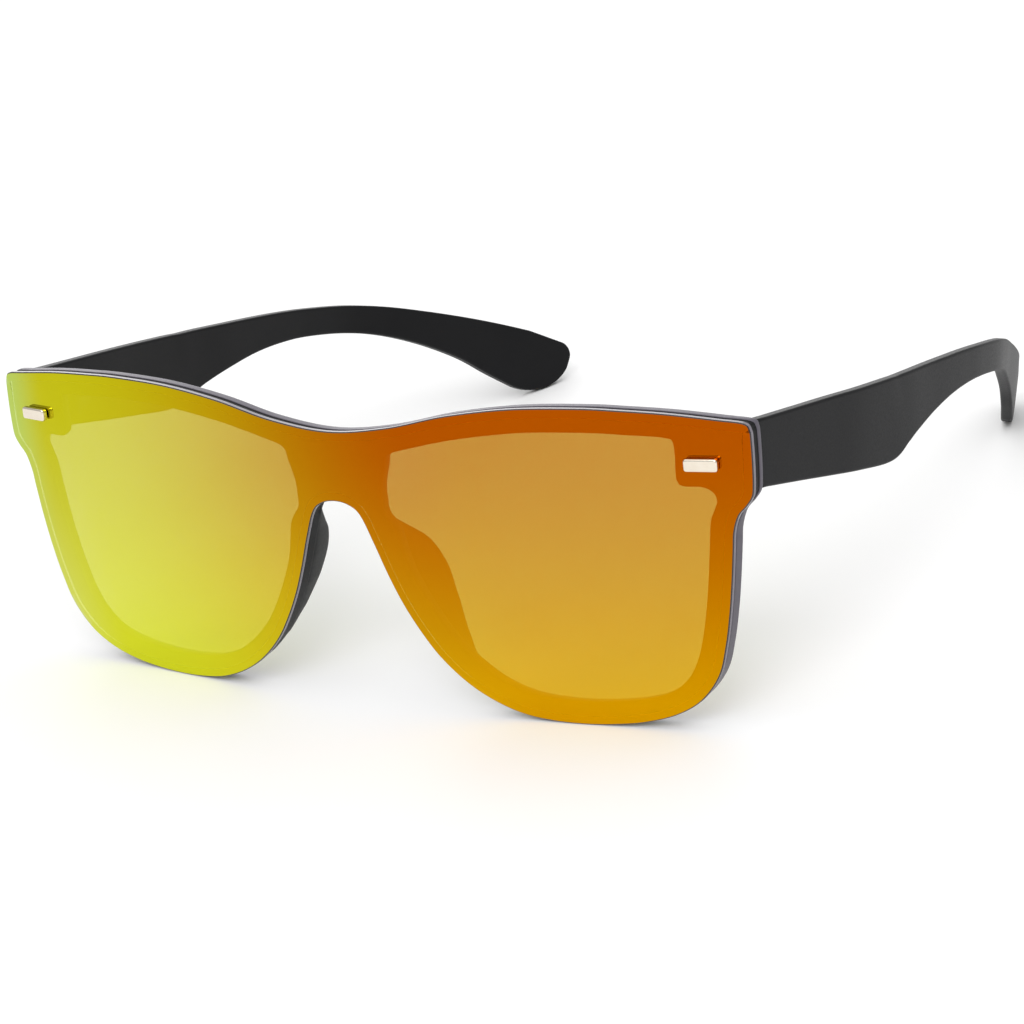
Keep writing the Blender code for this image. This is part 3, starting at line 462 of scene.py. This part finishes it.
pad_section = np.stack([
    np.stack([near, at_root], -1),
    np.stack([flared, pad_back - turned], -1),
    np.stack([flared + nose_pad_round, pad_back], -1),
    np.stack([flared + nose_pad_thickness - nose_pad_round, pad_back], -1),
    np.stack([flared + nose_pad_thickness, pad_back - turned], -1),
    np.stack([near + nose_pad_root_width, at_root], -1)], 1)


def cut_corners(loops, rounds):
    """Chaikin's rule: each round replaces a corner by points at a quarter and three quarters of the
    sides beside it, so a closed polygon becomes a smooth loop."""
    for _ in range(rounds):
        following = np.roll(loops, -1, axis=1)
        pair = np.stack([0.75 * loops + 0.25 * following, 0.25 * loops + 0.75 * following], 2)
        loops = pair.reshape(len(loops), -1, loops.shape[-1])
    return loops


pad_section = cut_corners(pad_section, pad_rounds)
pad_level = np.broadcast_to(level[:, None], pad_section.shape[:2])
pad_points = on_shield(np.stack([pad_section[..., 0], pad_level], -1), pad_section[..., 1])
pad_faces = tube_faces(*pad_points.shape[:2])
pad_meshes = [make_mesh("nose pad", pad_points * (side, 1, 1), pad_faces) for side in side_names]


def soft_corners(outline, radius, steps=6):
    """Round the corners of a flat outline: each corner is a parabola between the points that lie
    one radius away on its two sides."""
    outline = np.array(outline, float)
    to_last = np.roll(outline, 1, axis=0) - outline
    to_next = np.roll(outline, -1, axis=0) - outline
    start = outline + radius * to_last / np.linalg.norm(to_last, axis=1)[:, None]
    end = outline + radius * to_next / np.linalg.norm(to_next, axis=1)[:, None]
    t = np.linspace(0, 1, steps)[None, :, None]
    curve = ((1 - t) ** 2 * start[:, None] + 2 * t * (1 - t) * outline[:, None]
             + t ** 2 * end[:, None])
    return curve.reshape(-1, 2)


def plate(name, outline, low, high, edge, place):
    """A flat plate with rounded rims: the outline swept along Y, drawn in by a quarter arc near
    both faces. Low may be an array, one depth for each outline point."""
    behind, ahead = np.roll(outline, 1, axis=0), np.roll(outline, -1, axis=0)
    along = ahead - behind
    out = np.column_stack([along[:, 1], -along[:, 0]]) / np.linalg.norm(along, axis=1)[:, None]
    out *= np.sign(np.sum(outline[:, 0] * ahead[:, 1] - outline[:, 1] * ahead[:, 0]))
    low = np.broadcast_to(low, len(outline))
    high = np.broadcast_to(high, len(outline))
    drawn = edge * (1 - np.sin(arc))
    step = edge * (1 - np.cos(arc))
    loops = [(outline - out * d, low + s) for d, s in zip(drawn, step)]
    loops += [(outline - out * d, high - s) for d, s in zip(drawn[::-1], step[::-1])]
    solid = np.vstack([np.insert(loop, 1, depth, axis=1) for loop, depth in loops])
    return make_mesh(name, moved(solid, place), tube_faces(len(loops), len(outline)))


# Hinge seats, the flat pads behind the end blocks that the front leaves lie on
knuckle_height = 1.8 * mm
middle_knuckle_height = 1.6 * mm
knuckle_gap = 0.2 * mm
hinge_half_height = knuckle_height + middle_knuckle_height / 2 + knuckle_gap
front_leaf_length = 6.0 * mm
hinge_pad_margin = 0.6 * mm
hinge_pad_corner = 0.9 * mm
pad_edge_round = 0.25 * mm
pad_half = hinge_half_height + hinge_pad_margin
pad_inner = -front_leaf_length - hinge_pad_margin
pad_outer = knuckle_radius - seat_gap
settling_rounds = 8


def back_to_front(across, up, depth, splay=0):
    """How far behind the hinge axis the shield surface lies at a depth behind the lens front, in a
    frame turned outwards by the splay, found by going back and forth until it settles."""
    tilt_across, tilt_along = math.sin(pantoscopic_tilt), math.cos(pantoscopic_tilt)
    back = np.full(np.shape(across), pad_face)
    for _ in range(settling_rounds):
        wide = axis_across + (across * math.cos(splay) + back * math.sin(splay))
        hinge_back = back * math.cos(splay) - across * math.sin(splay)
        lens_back = axis_back + hinge_back * tilt_along + up * tilt_across
        lens_up = hinge_level + up * tilt_along - hinge_back * tilt_across
        wrap_back = wrap_radius - np.sqrt(wrap_radius ** 2 - wide ** 2)
        back = back + (wrap_back + lens_up ** 2 / (2 * crown_radius)) + depth - lens_back
    return back


hinge_to_lens = Matrix.Translation(hinge_in_lens) @ Matrix.Rotation(-pantoscopic_tilt, 4, "X")
seat_outline = soft_corners([(pad_inner, -pad_half), (pad_outer, -pad_half),
                             (pad_outer, pad_half), (pad_inner, pad_half)], hinge_pad_corner)
seat_root = back_to_front(seat_outline[:, 0], seat_outline[:, 1], pad_root)
seat_meshes = []
for side in side_names:
    seat_mesh = plate("hinge seat", seat_outline, seat_root, pad_face, pad_edge_round,
                      hinge_to_lens)
    if side < 0:
        seat_mesh.transform(Matrix.Diagonal((-1, 1, 1, 1)))
        seat_mesh.flip_normals()
    seat_meshes.append(seat_mesh)
for finish in front_finishes:
    ring_mesh.materials.append(finish)
for other in pad_meshes + seat_meshes:
    other.materials.append(front_finishes[0])
front_mesh = joined(ring_mesh, pad_meshes + seat_meshes)
front_mesh.transform(lens_to_table)
make_piece("front_moulding", front_mesh, "front", "front_frame")

# Shield lens. The real one is a single 0.9 mm polycarbonate sheet, thermoformed and cut to the
# horned outline, with a mirror coating on its front and a polished edge. It hangs on the rivets.
lens_bevel = 0.15 * mm
edge_strip = 1.4 * mm
lens_rows = 14
lens_steps = 10
column_count = 420
length_share = 0.4
outline = half_curve(lens_points + lens_normals * lens_bevel, lens_steps)
corner = int(np.argmax(outline[:, 0]))


def column_places(run):
    """Where the columns meet a run of the outline, counted in its points from the middle plane.
    Each step is even in a sum of the width reached and the length run, both as shares of their
    whole, so that the columns stand nearly upright and none is a sliver."""
    length = np.concatenate([[0], np.cumsum(np.linalg.norm(np.diff(run, axis=0), axis=1))])
    width = np.maximum.accumulate(run[:, 0])
    reached = (1 - length_share) * width / width[-1] + length_share * length / length[-1]
    return np.interp(np.linspace(0, 1, column_count + 1), reached, np.arange(len(run)))


brow_place = column_places(outline[:corner + 1])
lower_place = len(outline) - 1 - column_places(outline[corner:][::-1])


def read_curve(curve, place):
    """Points of a curve at places that are counted in its points and may lie between two."""
    return np.column_stack([np.interp(place, np.arange(len(curve)), row) for row in curve.T])


def lens_edges(inset):
    """Upper and lower edge of the whole lens at an inset, point above point."""
    curve = half_curve(lens_points + lens_normals * inset, lens_steps)
    upper = read_curve(curve, brow_place)
    lower = read_curve(curve, lower_place)
    return [np.vstack([half[:0:-1] * (-1, 1), half]) for half in (upper, lower)]


# Two sheets of columns that stop short of the edge, and five bands round them: the strip of the
# coating at the edge over painted shade, the front bevel, the wall, the back bevel and the strip of
# the back. The bevels carry painted dark reflection and the wall a partly painted highlight. The
# five finishes are numbered in the order in which the piece lists them.
coated, tinted, polished, coated_over_painted_shade, bevel_painted_dark = range(5)
rim_layers = [(edge_strip, 0), (lens_bevel, 0), (0, lens_bevel), (0, lens_thickness - lens_bevel),
              (lens_bevel, lens_thickness), (edge_strip, lens_thickness)]
band_slots = [coated_over_painted_shade, bevel_painted_dark, polished, bevel_painted_dark, tinted]
down_share = np.linspace(0, 1, lens_rows + 1)[None, :, None]
upper, lower = lens_edges(edge_strip)
sheet = upper[:, None] + down_share * (lower - upper)[:, None]
sheet_faces = grid_faces(len(sheet), lens_rows + 1)
front_sheet = on_shield(sheet, 0)
back_sheet = on_shield(sheet, lens_thickness)
rim_loops = []
for inset, depth in rim_layers:
    upper, lower = lens_edges(inset)
    rim_loops.append(on_shield(np.vstack([upper, lower[::-1]]), depth))
rim = np.stack(rim_loops)
sheet_size = front_sheet.shape[0] * front_sheet.shape[1]
rim_faces = grid_faces(rim.shape[0], rim.shape[1], round_columns=True, start=2 * sheet_size)
lens_faces = np.vstack([sheet_faces, sheet_faces[:, ::-1] + sheet_size, rim_faces])
face_counts = [len(sheet_faces)] * 2 + [rim.shape[1]] * len(band_slots)
lens_slots = np.repeat([coated, tinted] + band_slots, face_counts)
lens_vertices = np.vstack([grid.reshape(-1, 3) for grid in (front_sheet, back_sheet, rim)])
lens_mesh = make_mesh("shield lens", moved(lens_vertices, lens_to_table), lens_faces, lens_slots)


# The film has a green-yellow end, a yellow turn and an orange rest. Its thickness varies smoothly,
# so the colours ease into each other, with the turn and the orange at shares of the width. The
# colours of the brow turn into those of the lower rim slowly at first, by a power of the way down.
# The lower rim's are lighter and the brow's redder and darker, partly the coating's own colour and
# partly painted reflection of the surroundings.
mirror_share = 0.79
brow_level = 48 * mm
lower_level = 4 * mm
film_and_reflection_bend = 1.8
brow_film_and_reflection = (("c6de68", "d1cb0a", "bc5600"), 0.07, 0.62)
lower_film_and_reflection = (("e6f182", "e8ec28", "ecaf00"), 0.15, 0.75)


def mirror_coating(name, beneath):
    """Multilayer mirror, vacuum-coated on tinted polycarbonate. Its thin-film colour runs from
    green-yellow at one end to orange at the other. It is redder along the brow and lighter along
    the lower rim, partly its own colour and partly painted reflection. It lets a share of the light
    through to what the function adds beneath."""
    material, tree = new_material(name)
    place = add(tree, "TexCoord").outputs["Object"]
    axes = add(tree, "SeparateXYZ", Vector=place)
    wide = add(tree, "MapRange", Value=axes.outputs["X"],
               From_Min=-lens_half_width, From_Max=lens_half_width)
    below = add(tree, "MapRange", Value=axes.outputs["Z"],
                From_Min=brow_level, From_Max=lower_level)
    low = add(tree, "Math", {"operation": "POWER"}, i0=below.outputs[0], i1=film_and_reflection_bend)
    ramps = []
    for (green, yellow, orange), yellow_at, orange_at in (brow_film_and_reflection, lower_film_and_reflection):
        ramp = add(tree, "ValToRGB", Fac=wide.outputs[0])
        ramp.color_ramp.interpolation = "EASE"
        first, last = ramp.color_ramp.elements
        first.color = linear(green)
        last.color = linear(orange)
        last.position = orange_at
        ramp.color_ramp.elements.new(yellow_at).color = linear(yellow)
        ramps.append(ramp.outputs["Color"])
    # Partly painted reflection: the blend from the brow's colours to the lower rim's
    film = add(tree, "Mix", {"data_type": "RGBA"}, Factor=low.outputs[0], i6=ramps[0], i7=ramps[1])
    waves = add(tree, "TexNoise", Vector=place, Scale=1 / (14 * mm))
    rough = add(tree, "MapRange", Value=waves.outputs["Fac"], To_Min=0.04, To_Max=0.08)
    shine = add(tree, "BsdfPrincipled", Base_Color=film.outputs[2], Metallic=1.0,
                Roughness=rough.outputs[0])
    both = add(tree, "MixShader", Fac=mirror_share, i1=beneath(tree), i2=shine.outputs[0])
    add(tree, "OutputMaterial", Surface=both.outputs[0])
    return material


body_turn = lens_half_width / 3
back_gloss_share = 0.08


def amber_body(tree):
    """The tinted sheet behind the coating. It lets through what the coating doesn't send back:
    nearly neutral light at the green end, and yellow-green light past the turn."""
    axes = add(tree, "SeparateXYZ", Vector=add(tree, "TexCoord").outputs["Object"])
    wide = add(tree, "MapRange", Value=axes.outputs["X"],
               From_Min=-lens_half_width, From_Max=body_turn)
    through = add(tree, "Mix", {"data_type": "RGBA"}, Factor=wide.outputs[0],
                  i6=linear("b8bcc5"), i7=linear("cbff89"))
    return add(tree, "BsdfTransparent", Color=through.outputs[2]).outputs[0]


def painted_shade_body(tree):
    """Black, for the strip of the sheet along its edge: painted shade, so that what lies behind the
    strip shows dark.
    """
    black = add(tree, "BsdfPrincipled", Base_Color=linear("000000"), Specular_IOR_Level=0.0)
    return black.outputs[0]


def tinted_back():
    """The uncoated back of the lens: clear amber polycarbonate, polished."""
    material, tree = new_material("amber polycarbonate")
    gloss = add(tree, "BsdfPrincipled", Base_Color=linear("5a3d08"), Roughness=0.06, IOR=1.585)
    clear = add(tree, "BsdfTransparent", Color=linear("fcfcf3"))
    both = add(tree, "MixShader", Fac=back_gloss_share, i1=clear.outputs[0], i2=gloss.outputs[0])
    add(tree, "OutputMaterial", Surface=both.outputs[0])
    return material


def edge_finish_with_painted_reflection(name, colour, pale_colour, roughness):
    """The cut and polished edge of the sheet: polycarbonate, a little uneven along the cut. Its
    tone
    is painted reflection: dark on the bevels, and pale grey on the wall, partly its own colour and
    partly painted highlight.
    """
    material, tree = new_material(name)
    place = add(tree, "TexCoord").outputs["Object"]
    tone = add(tree, "TexNoise", Vector=place, Scale=1 / (6 * mm), Detail=2.0)
    blend = add(tree, "Mix", {"data_type": "RGBA"}, Factor=tone.outputs["Fac"],
                i6=linear(colour), i7=linear(pale_colour))
    shader = add(tree, "BsdfPrincipled", Base_Color=blend.outputs[2], Roughness=roughness,
                 IOR=1.585)
    add(tree, "OutputMaterial", Surface=shader.outputs[0])
    return material


# The edge's finishes paint light: shade behind the coated strip, dark reflection on the bevels and
# a partly painted highlight on the wall
lens_finishes = [mirror_coating("mirror coating on polycarbonate", amber_body), tinted_back(),
                 edge_finish_with_painted_reflection("polished polycarbonate edge with painted highlight", "6f6a73", "7d7880", 0.25),
                 mirror_coating("mirror coating over painted shade at the edge", painted_shade_body),
                 edge_finish_with_painted_reflection("edge bevel with painted dark reflection", "1c1612", "2a221c", 0.2)]
make_piece("mirror_lens", lens_mesh, "front", "shield_lens", lens_finishes)

# Rivets. The real ones are small bars of plated metal with softened edges, one near each horn. Two
# pins on the back of each go through the lens and are pressed into the end block behind it.
rivet_length = 5.3 * mm
rivet_height = 2.0 * mm
rivet_proud = 1.25 * mm
rivet_edge = 0.32 * mm
rivet_corner = 0.55 * mm
rivet_inset = 7.7 * mm
rivet_level_share = 0.35
rivet_seat_gap = 0.15 * mm
rivet_width = lens_half_width - rivet_inset
rivet_level = block_bottom + rivet_level_share * end_block_height
rivet_spot = on_shield(np.array([rivet_width, rivet_level]), 0)
rivet_lean = Matrix.Rotation(-math.atan(rivet_level / crown_radius), 4, "X")
corner_signs = [(-1, -1), (1, -1), (1, 1), (-1, 1)]
rivet_outline = soft_corners([(across * rivet_length / 2, up * rivet_height / 2)
                              for across, up in corner_signs], rivet_corner)


def champagne_plate():
    """Champagne plating on brass, polished and then handled: fine lengthwise polishing lines, drawn
    at 0.12 mm so that they show, and a slightly duller, browner tone here and there."""
    material, tree = new_material("champagne plated brass")
    place = add(tree, "TexCoord").outputs["Object"]
    stretched = add(tree, "Mapping", Vector=place, Scale=(0.08, 1, 1))
    lines = add(tree, "TexNoise", Vector=stretched.outputs[0], Scale=1 / (0.12 * mm), Detail=2.0)
    tone = add(tree, "TexNoise", Vector=place, Scale=1 / (1.5 * mm), Detail=2.0)
    blend = add(tree, "Mix", {"data_type": "RGBA"}, Factor=tone.outputs["Fac"],
                i6=linear("e2d6c4"), i7=linear("efe6d8"))
    rough = add(tree, "MapRange", Value=lines.outputs["Fac"], From_Min=0.3, From_Max=0.7,
                To_Min=0.14, To_Max=0.24)
    bump = add(tree, "Bump", Strength=0.15, Distance=0.01 * mm, Height=lines.outputs["Fac"])
    shader = add(tree, "BsdfPrincipled", Base_Color=blend.outputs[2], Metallic=1.0,
                 Roughness=rough.outputs[0], Normal=bump.outputs["Normal"])
    add(tree, "OutputMaterial", Surface=shader.outputs[0])
    return material


rivet_plate = champagne_plate()
for side, side_name in side_names.items():
    spot = Matrix.Translation(Vector(rivet_spot * (side, 1, 1)))
    turn = Matrix.Rotation(side * rivet_width / wrap_radius, 4, "Z") @ rivet_lean
    bar = plate("rivet", rivet_outline, -rivet_proud, -rivet_seat_gap, rivet_edge,
                lens_to_table @ spot @ turn)
    make_piece("rivet_bar_" + side_name, bar, "front", "lens_rivet_" + side_name,
               [rivet_plate], sharp=60)

# Hinges and their screws. The real ones are stamped and turned steel, plated black, with three
# knuckles each and two screws a leaf. Their solids show as they are, and only get their finish.
hinge_nodes = ("front_hinge_", "temple_hinge_")
screw_nodes = ("hinge_screw_", "front_leaf_screw_", "temple_leaf_screw_")


def black_plated(name, scratch_size, roughness):
    """Black plating on steel: dark and satin, with paler rubbed specks where it is worn."""
    material, tree = new_material(name)
    place = add(tree, "TexCoord").outputs["Object"]
    wear = add(tree, "TexNoise", Vector=place, Scale=1 / scratch_size, Detail=4.0)
    rubbed = add(tree, "MapRange", Value=wear.outputs["Fac"], From_Min=0.55, From_Max=0.75)
    blend = add(tree, "Mix", {"data_type": "RGBA"}, Factor=rubbed.outputs[0],
                i6=linear("3a3a3d"), i7=linear("6c6b6a"))
    rough = add(tree, "MapRange", Value=wear.outputs["Fac"],
                To_Min=roughness - 0.08, To_Max=roughness + 0.08)
    bump = add(tree, "Bump", Strength=0.2, Distance=0.01 * mm, Height=wear.outputs["Fac"])
    shader = add(tree, "BsdfPrincipled", Base_Color=blend.outputs[2], Metallic=1.0,
                 Roughness=rough.outputs[0], Normal=bump.outputs["Normal"])
    add(tree, "OutputMaterial", Surface=shader.outputs[0])
    return material


for starts, finish in ((hinge_nodes, black_plated("black plated stamped steel", 0.4 * mm, 0.38)),
                       (screw_nodes, black_plated("black plated turned steel", 0.2 * mm, 0.3))):
    for name, solid in frame["nodes"].items():
        if name.startswith(starts):
            for slot in solid.material_slots:
                slot.material = finish

# Temples. The real ones are injection-moulded nylon like the front, wide at the root and the belly,
# narrow at the waist, with drop tips that curve inwards. Each is screwed to its hinge leaf.
temple_splay = math.radians(3.8)
temple_round = 0.5 * mm
temple_reach = 122.5 * mm
temple_root_height = 10.4 * mm
temple_belly_height = 13.1 * mm
temple_waist_height = 5.15 * mm
temple_tip_height = 11.7 * mm
temple_top_stand = 5.3 * mm
temple_rise = 1.15 * mm
ear_drop = 9.5 * mm
tip_inset = 24.7 * mm
tip_length = 10.9 * mm
tip_round = 2.8 * mm
tip_end_flat = 0.3 * mm
tip_lean = math.radians(5)
butt_gap = 0.3 * mm
root_round = 0.2 * mm
heel_length_share = 0.96
nook_limit = 0.9
station_steps = 12
ease_span = 25
end_steps = 28
corner_points = 6
tall_steps = 6
root_steps = 4
# Stations as shares: along the reach, rise of the top edge, drop towards the ear, how much the
# height follows the root, the belly and the tip, with the waist taking the rest, and inward curve.
station_shares = [
    (0.00, 0.00, 0.00, 1.00, 0.00, 0.00, 0.000),
    (0.08, 0.19, 0.00, 0.69, 0.31, 0.00, 0.000),
    (0.15, 0.36, 0.00, 0.40, 0.60, 0.00, 0.000),
    (0.22, 0.47, 0.00, 0.16, 0.84, 0.00, 0.000),
    (0.30, 0.62, 0.00, 0.00, 1.00, 0.00, 0.020),
    (0.34, 0.76, 0.00, 0.00, 0.79, 0.00, 0.036),
    (0.375, 0.83, 0.00, 0.00, 0.61, 0.00, 0.054),
    (0.43, 0.92, 0.00, 0.00, 0.38, 0.00, 0.090),
    (0.49, 0.99, 0.00, 0.00, 0.18, 0.00, 0.125),
    (0.55, 1.00, 0.00, 0.00, 0.065, 0.00, 0.165),
    (0.61, 1.00, 0.02, 0.00, 0.01, 0.00, 0.213),
    (0.69, 1.00, 0.08, 0.00, 0.00, 0.01, 0.306),
    (0.76, 1.00, 0.20, 0.00, 0.00, 0.06, 0.438),
    (0.83, 1.00, 0.39, 0.00, 0.00, 0.20, 0.595),
    (0.90, 1.00, 0.61, 0.00, 0.00, 0.455, 0.750),
    (0.955, 1.00, 0.81, 0.00, 0.00, 0.78, 0.880),
    (1.00, 1.00, 1.00, 0.00, 0.00, 1.00, 1.000)]


def quarter_ellipse(length, depth, from_end):
    """How much a quarter ellipse takes off an edge at these distances from the end."""
    short_share = np.maximum(1 - from_end / length, 0)
    return depth * (1 - np.sqrt(1 - short_share ** 2))


along, rise, drop, root, belly, tip, inwards = smooth_curve(station_shares, station_steps).T
half = (root * temple_root_height + belly * temple_belly_height + tip * temple_tip_height
        + (1 - root - belly - tip) * temple_waist_height) / 2
top = temple_top_stand + rise * temple_rise - drop * ear_drop
line = np.column_stack([-inwards * tip_inset, along * temple_reach, top - half])

# The sections face along an eased copy of that line: each point is a mean of its neighbours over
# about two stations, weighted by a Hann window
ease = np.hanning(ease_span + 2)[1:-1]
padded = np.pad(line, ((ease_span // 2, ease_span // 2), (0, 0)), "reflect", reflect_type="odd")
eased = np.column_stack([np.convolve(padded[:, k], ease / ease.sum(), "valid") for k in range(3)])
heading = np.gradient(eased, axis=0)
heading /= np.linalg.norm(heading, axis=1)[:, None]

# Past the last station the tip runs on straight, rounded above and with a long heel below
heel_length = heel_length_share * tip_length
heel_depth = temple_tip_height - tip_round - tip_end_flat
from_end = heel_length * (1 - np.sin(np.linspace(0, math.pi / 2, end_steps)))
line = np.vstack([line, line[-1] + (tip_length - from_end)[:, None] * heading[-1]])
heading = np.vstack([heading, np.tile(heading[-1], (len(from_end), 1))])
above = np.append(half, half[-1] - quarter_ellipse(tip_round, tip_round, from_end))
below = np.append(half, half[-1] - quarter_ellipse(heel_length, heel_depth, from_end))
end_distance = np.append(np.full(len(half), tip_length), from_end)
temple_side = temple_thickness / 2 - quarter_ellipse(temple_round, temple_round, end_distance)
nook = np.minimum(temple_round, np.minimum((above + below) / 4, temple_side * nook_limit))
lean = np.append(tip, np.ones(len(from_end))) * math.sin(tip_lean)
up = np.column_stack([-lean, -heading[:, 2], heading[:, 1]])
up /= np.linalg.norm(up, axis=1)[:, None]
out = np.cross(heading, up)
out /= np.linalg.norm(out, axis=1)[:, None]
middle = line - out * temple_thickness / 2

# The section runs round four corner arcs, with a few points on each tall side
corner_arc = np.linspace(0, math.pi / 2, corner_points)
corner_turns = np.concatenate([corner_arc + corner * math.pi / 2 for corner in range(4)])
corner_out = np.repeat([1, -1, -1, 1], corner_points)
corner_up = np.repeat([1, 1, -1, -1], corner_points)
tall_share = np.linspace(0, 1, tall_steps + 1)[1:-1]


def with_tall_sides(section):
    """The section with a few more points between its halves, on the inner and the outer side."""
    first, last = np.hsplit(section, 2)
    inner = first[:, -1:] + tall_share * (last[:, :1] - first[:, -1:])
    outer = last[:, -1:] + tall_share * (first[:, :1] - last[:, -1:])
    return np.hstack([first, inner, last, outer])


section_x = corner_out * (temple_side - nook)[:, None] + nook[:, None] * np.cos(corner_turns)
reach_up = np.where(corner_up > 0, above[:, None], below[:, None])
section_z = corner_up * (reach_up - nook[:, None]) + nook[:, None] * np.sin(corner_turns)
body = (middle[:, None] + out[:, None] * with_tall_sides(section_x)[..., None]
        + up[:, None] * with_tall_sides(section_z)[..., None])

# The root ends in a face that follows the back of the front at a small gap, with a rounded rim
root_arc = np.linspace(0, math.pi / 2, root_steps)
root_drawn = root_round * (1 - np.sin(root_arc))
root_step = root_round * (1 - np.cos(root_arc))
centre = body[0].mean(axis=0)
spread = body[0] - centre
shrink_x = 1 - root_drawn[:, None] / (temple_thickness / 2)
shrink_z = 1 - root_drawn[:, None] / (temple_root_height / 2)
root_x = centre[0] + spread[:, 0] * shrink_x
root_z = centre[2] + spread[:, 2] * shrink_z
to_hinge = temple_outer - axis_across
root_y = root_step[:, None] + back_to_front(
    root_x + to_hinge, root_z, frame_back + butt_gap, temple_splay)
temple_grid = np.concatenate([np.stack([root_x, root_y, root_z], -1), body])
temple_grid[..., 0] += to_hinge
temple_faces = tube_faces(*temple_grid.shape[:2])
arm_to_table = lens_to_table @ hinge_to_lens @ Matrix.Rotation(-temple_splay, 4, "Z")
temple_nylon = matte_nylon("matte moulded nylon temple", "0b0b0d", "121214", 0.45)
for side, side_name in side_names.items():
    temple_mesh = make_mesh("temple", moved(temple_grid, arm_to_table) * (side, 1, 1), temple_faces)
    make_piece("temple_moulding_" + side_name, temple_mesh, side_name + "_temple_arm",
               "temple_" + side_name, [temple_nylon])

# Stage: a white floor, six metres from its middle to its sides, under soft studio light
floor_half = 6
floor_corners = [(across * floor_half, along * floor_half, 0) for across, along in corner_signs]
floor_mesh = make_mesh("floor", floor_corners, [(0, 1, 2, 3)])
floor = bpy.data.objects.new("floor", floor_mesh)
bpy.context.scene.collection.objects.link(floor)
floor_paint, tree = new_material("white paper floor")
floor_shader = add(tree, "BsdfPrincipled", Base_Color=linear("f3f3f3"), Roughness=0.9)
add(tree, "OutputMaterial", Surface=floor_shader.outputs[0])
floor_mesh.materials.append(floor_paint)

world = bpy.data.worlds.new("studio")
bpy.context.scene.world = world
world.use_nodes = True
sky = world.node_tree.nodes["Background"]
sky.inputs["Color"].default_value = linear("ffffff")
sky.inputs["Strength"].default_value = 0.55
# Colours go to the picture as they are, as in the photograph's plain product shot on pure white
bpy.context.scene.view_settings.view_transform = "Standard"


def soft_light(name, place, target, size, power):
    """A square soft box of a size in metres that looks at a point, with its power in watts."""
    lamp = bpy.data.lights.new(name, "AREA")
    lamp.size = size
    lamp.energy = power
    holder = bpy.data.objects.new(name, lamp)
    bpy.context.scene.collection.objects.link(holder)
    holder.location = place
    holder.rotation_euler = (Vector(target) - Vector(place)).to_track_quat("-Z", "Y").to_euler()


soft_light("top soft box", (0, 0, 1.6), (0, 0, 0), 3.2, 24)
soft_light("front panel", (0.5, -1.5, 1.3), (0, 0, 0), 1.2, 16)
soft_light("back panel", (-1.5, 2.2, 0.8), (0, 0, 0.1), 1.6, 14)

# Camera, worked out in the lens frame from the photograph and stood on the table with the object.
# The focal length is in pixels of a picture that is 1024 wide, and the sensor width in millimetres.
camera_turn = math.radians(34.268)
camera_raise = math.radians(18.297)
camera_roll = math.radians(-6.979)
camera_aside = -26.848 * mm
camera_above = -3.666 * mm
camera_away = 520.565 * mm
picture_width = 1024
focal_length = 3353.341
sensor_width = 36
camera_back = Vector((math.sin(camera_turn) * math.cos(camera_raise),
                      -math.cos(camera_turn) * math.cos(camera_raise), math.sin(camera_raise)))
level_right = Vector((math.cos(camera_turn), math.sin(camera_turn), 0))
level_up = camera_back.cross(level_right)
camera_right = math.cos(camera_roll) * level_right + math.sin(camera_roll) * level_up
camera_up = math.cos(camera_roll) * level_up - math.sin(camera_roll) * level_right
camera_data = bpy.data.cameras.new("camera")
camera_data.sensor_width = sensor_width
camera_data.lens = focal_length / picture_width * sensor_width
camera_data.clip_start = 10 * mm
camera = bpy.data.objects.new("camera", camera_data)
bpy.context.scene.collection.objects.link(camera)
camera_axes = Matrix((camera_right, camera_up, camera_back)).transposed().to_4x4()
camera_spot = camera_back * camera_away - camera_right * camera_aside - camera_up * camera_above
camera.matrix_world = lens_to_table @ Matrix.Translation(camera_spot) @ camera_axes
bpy.context.scene.camera = camera
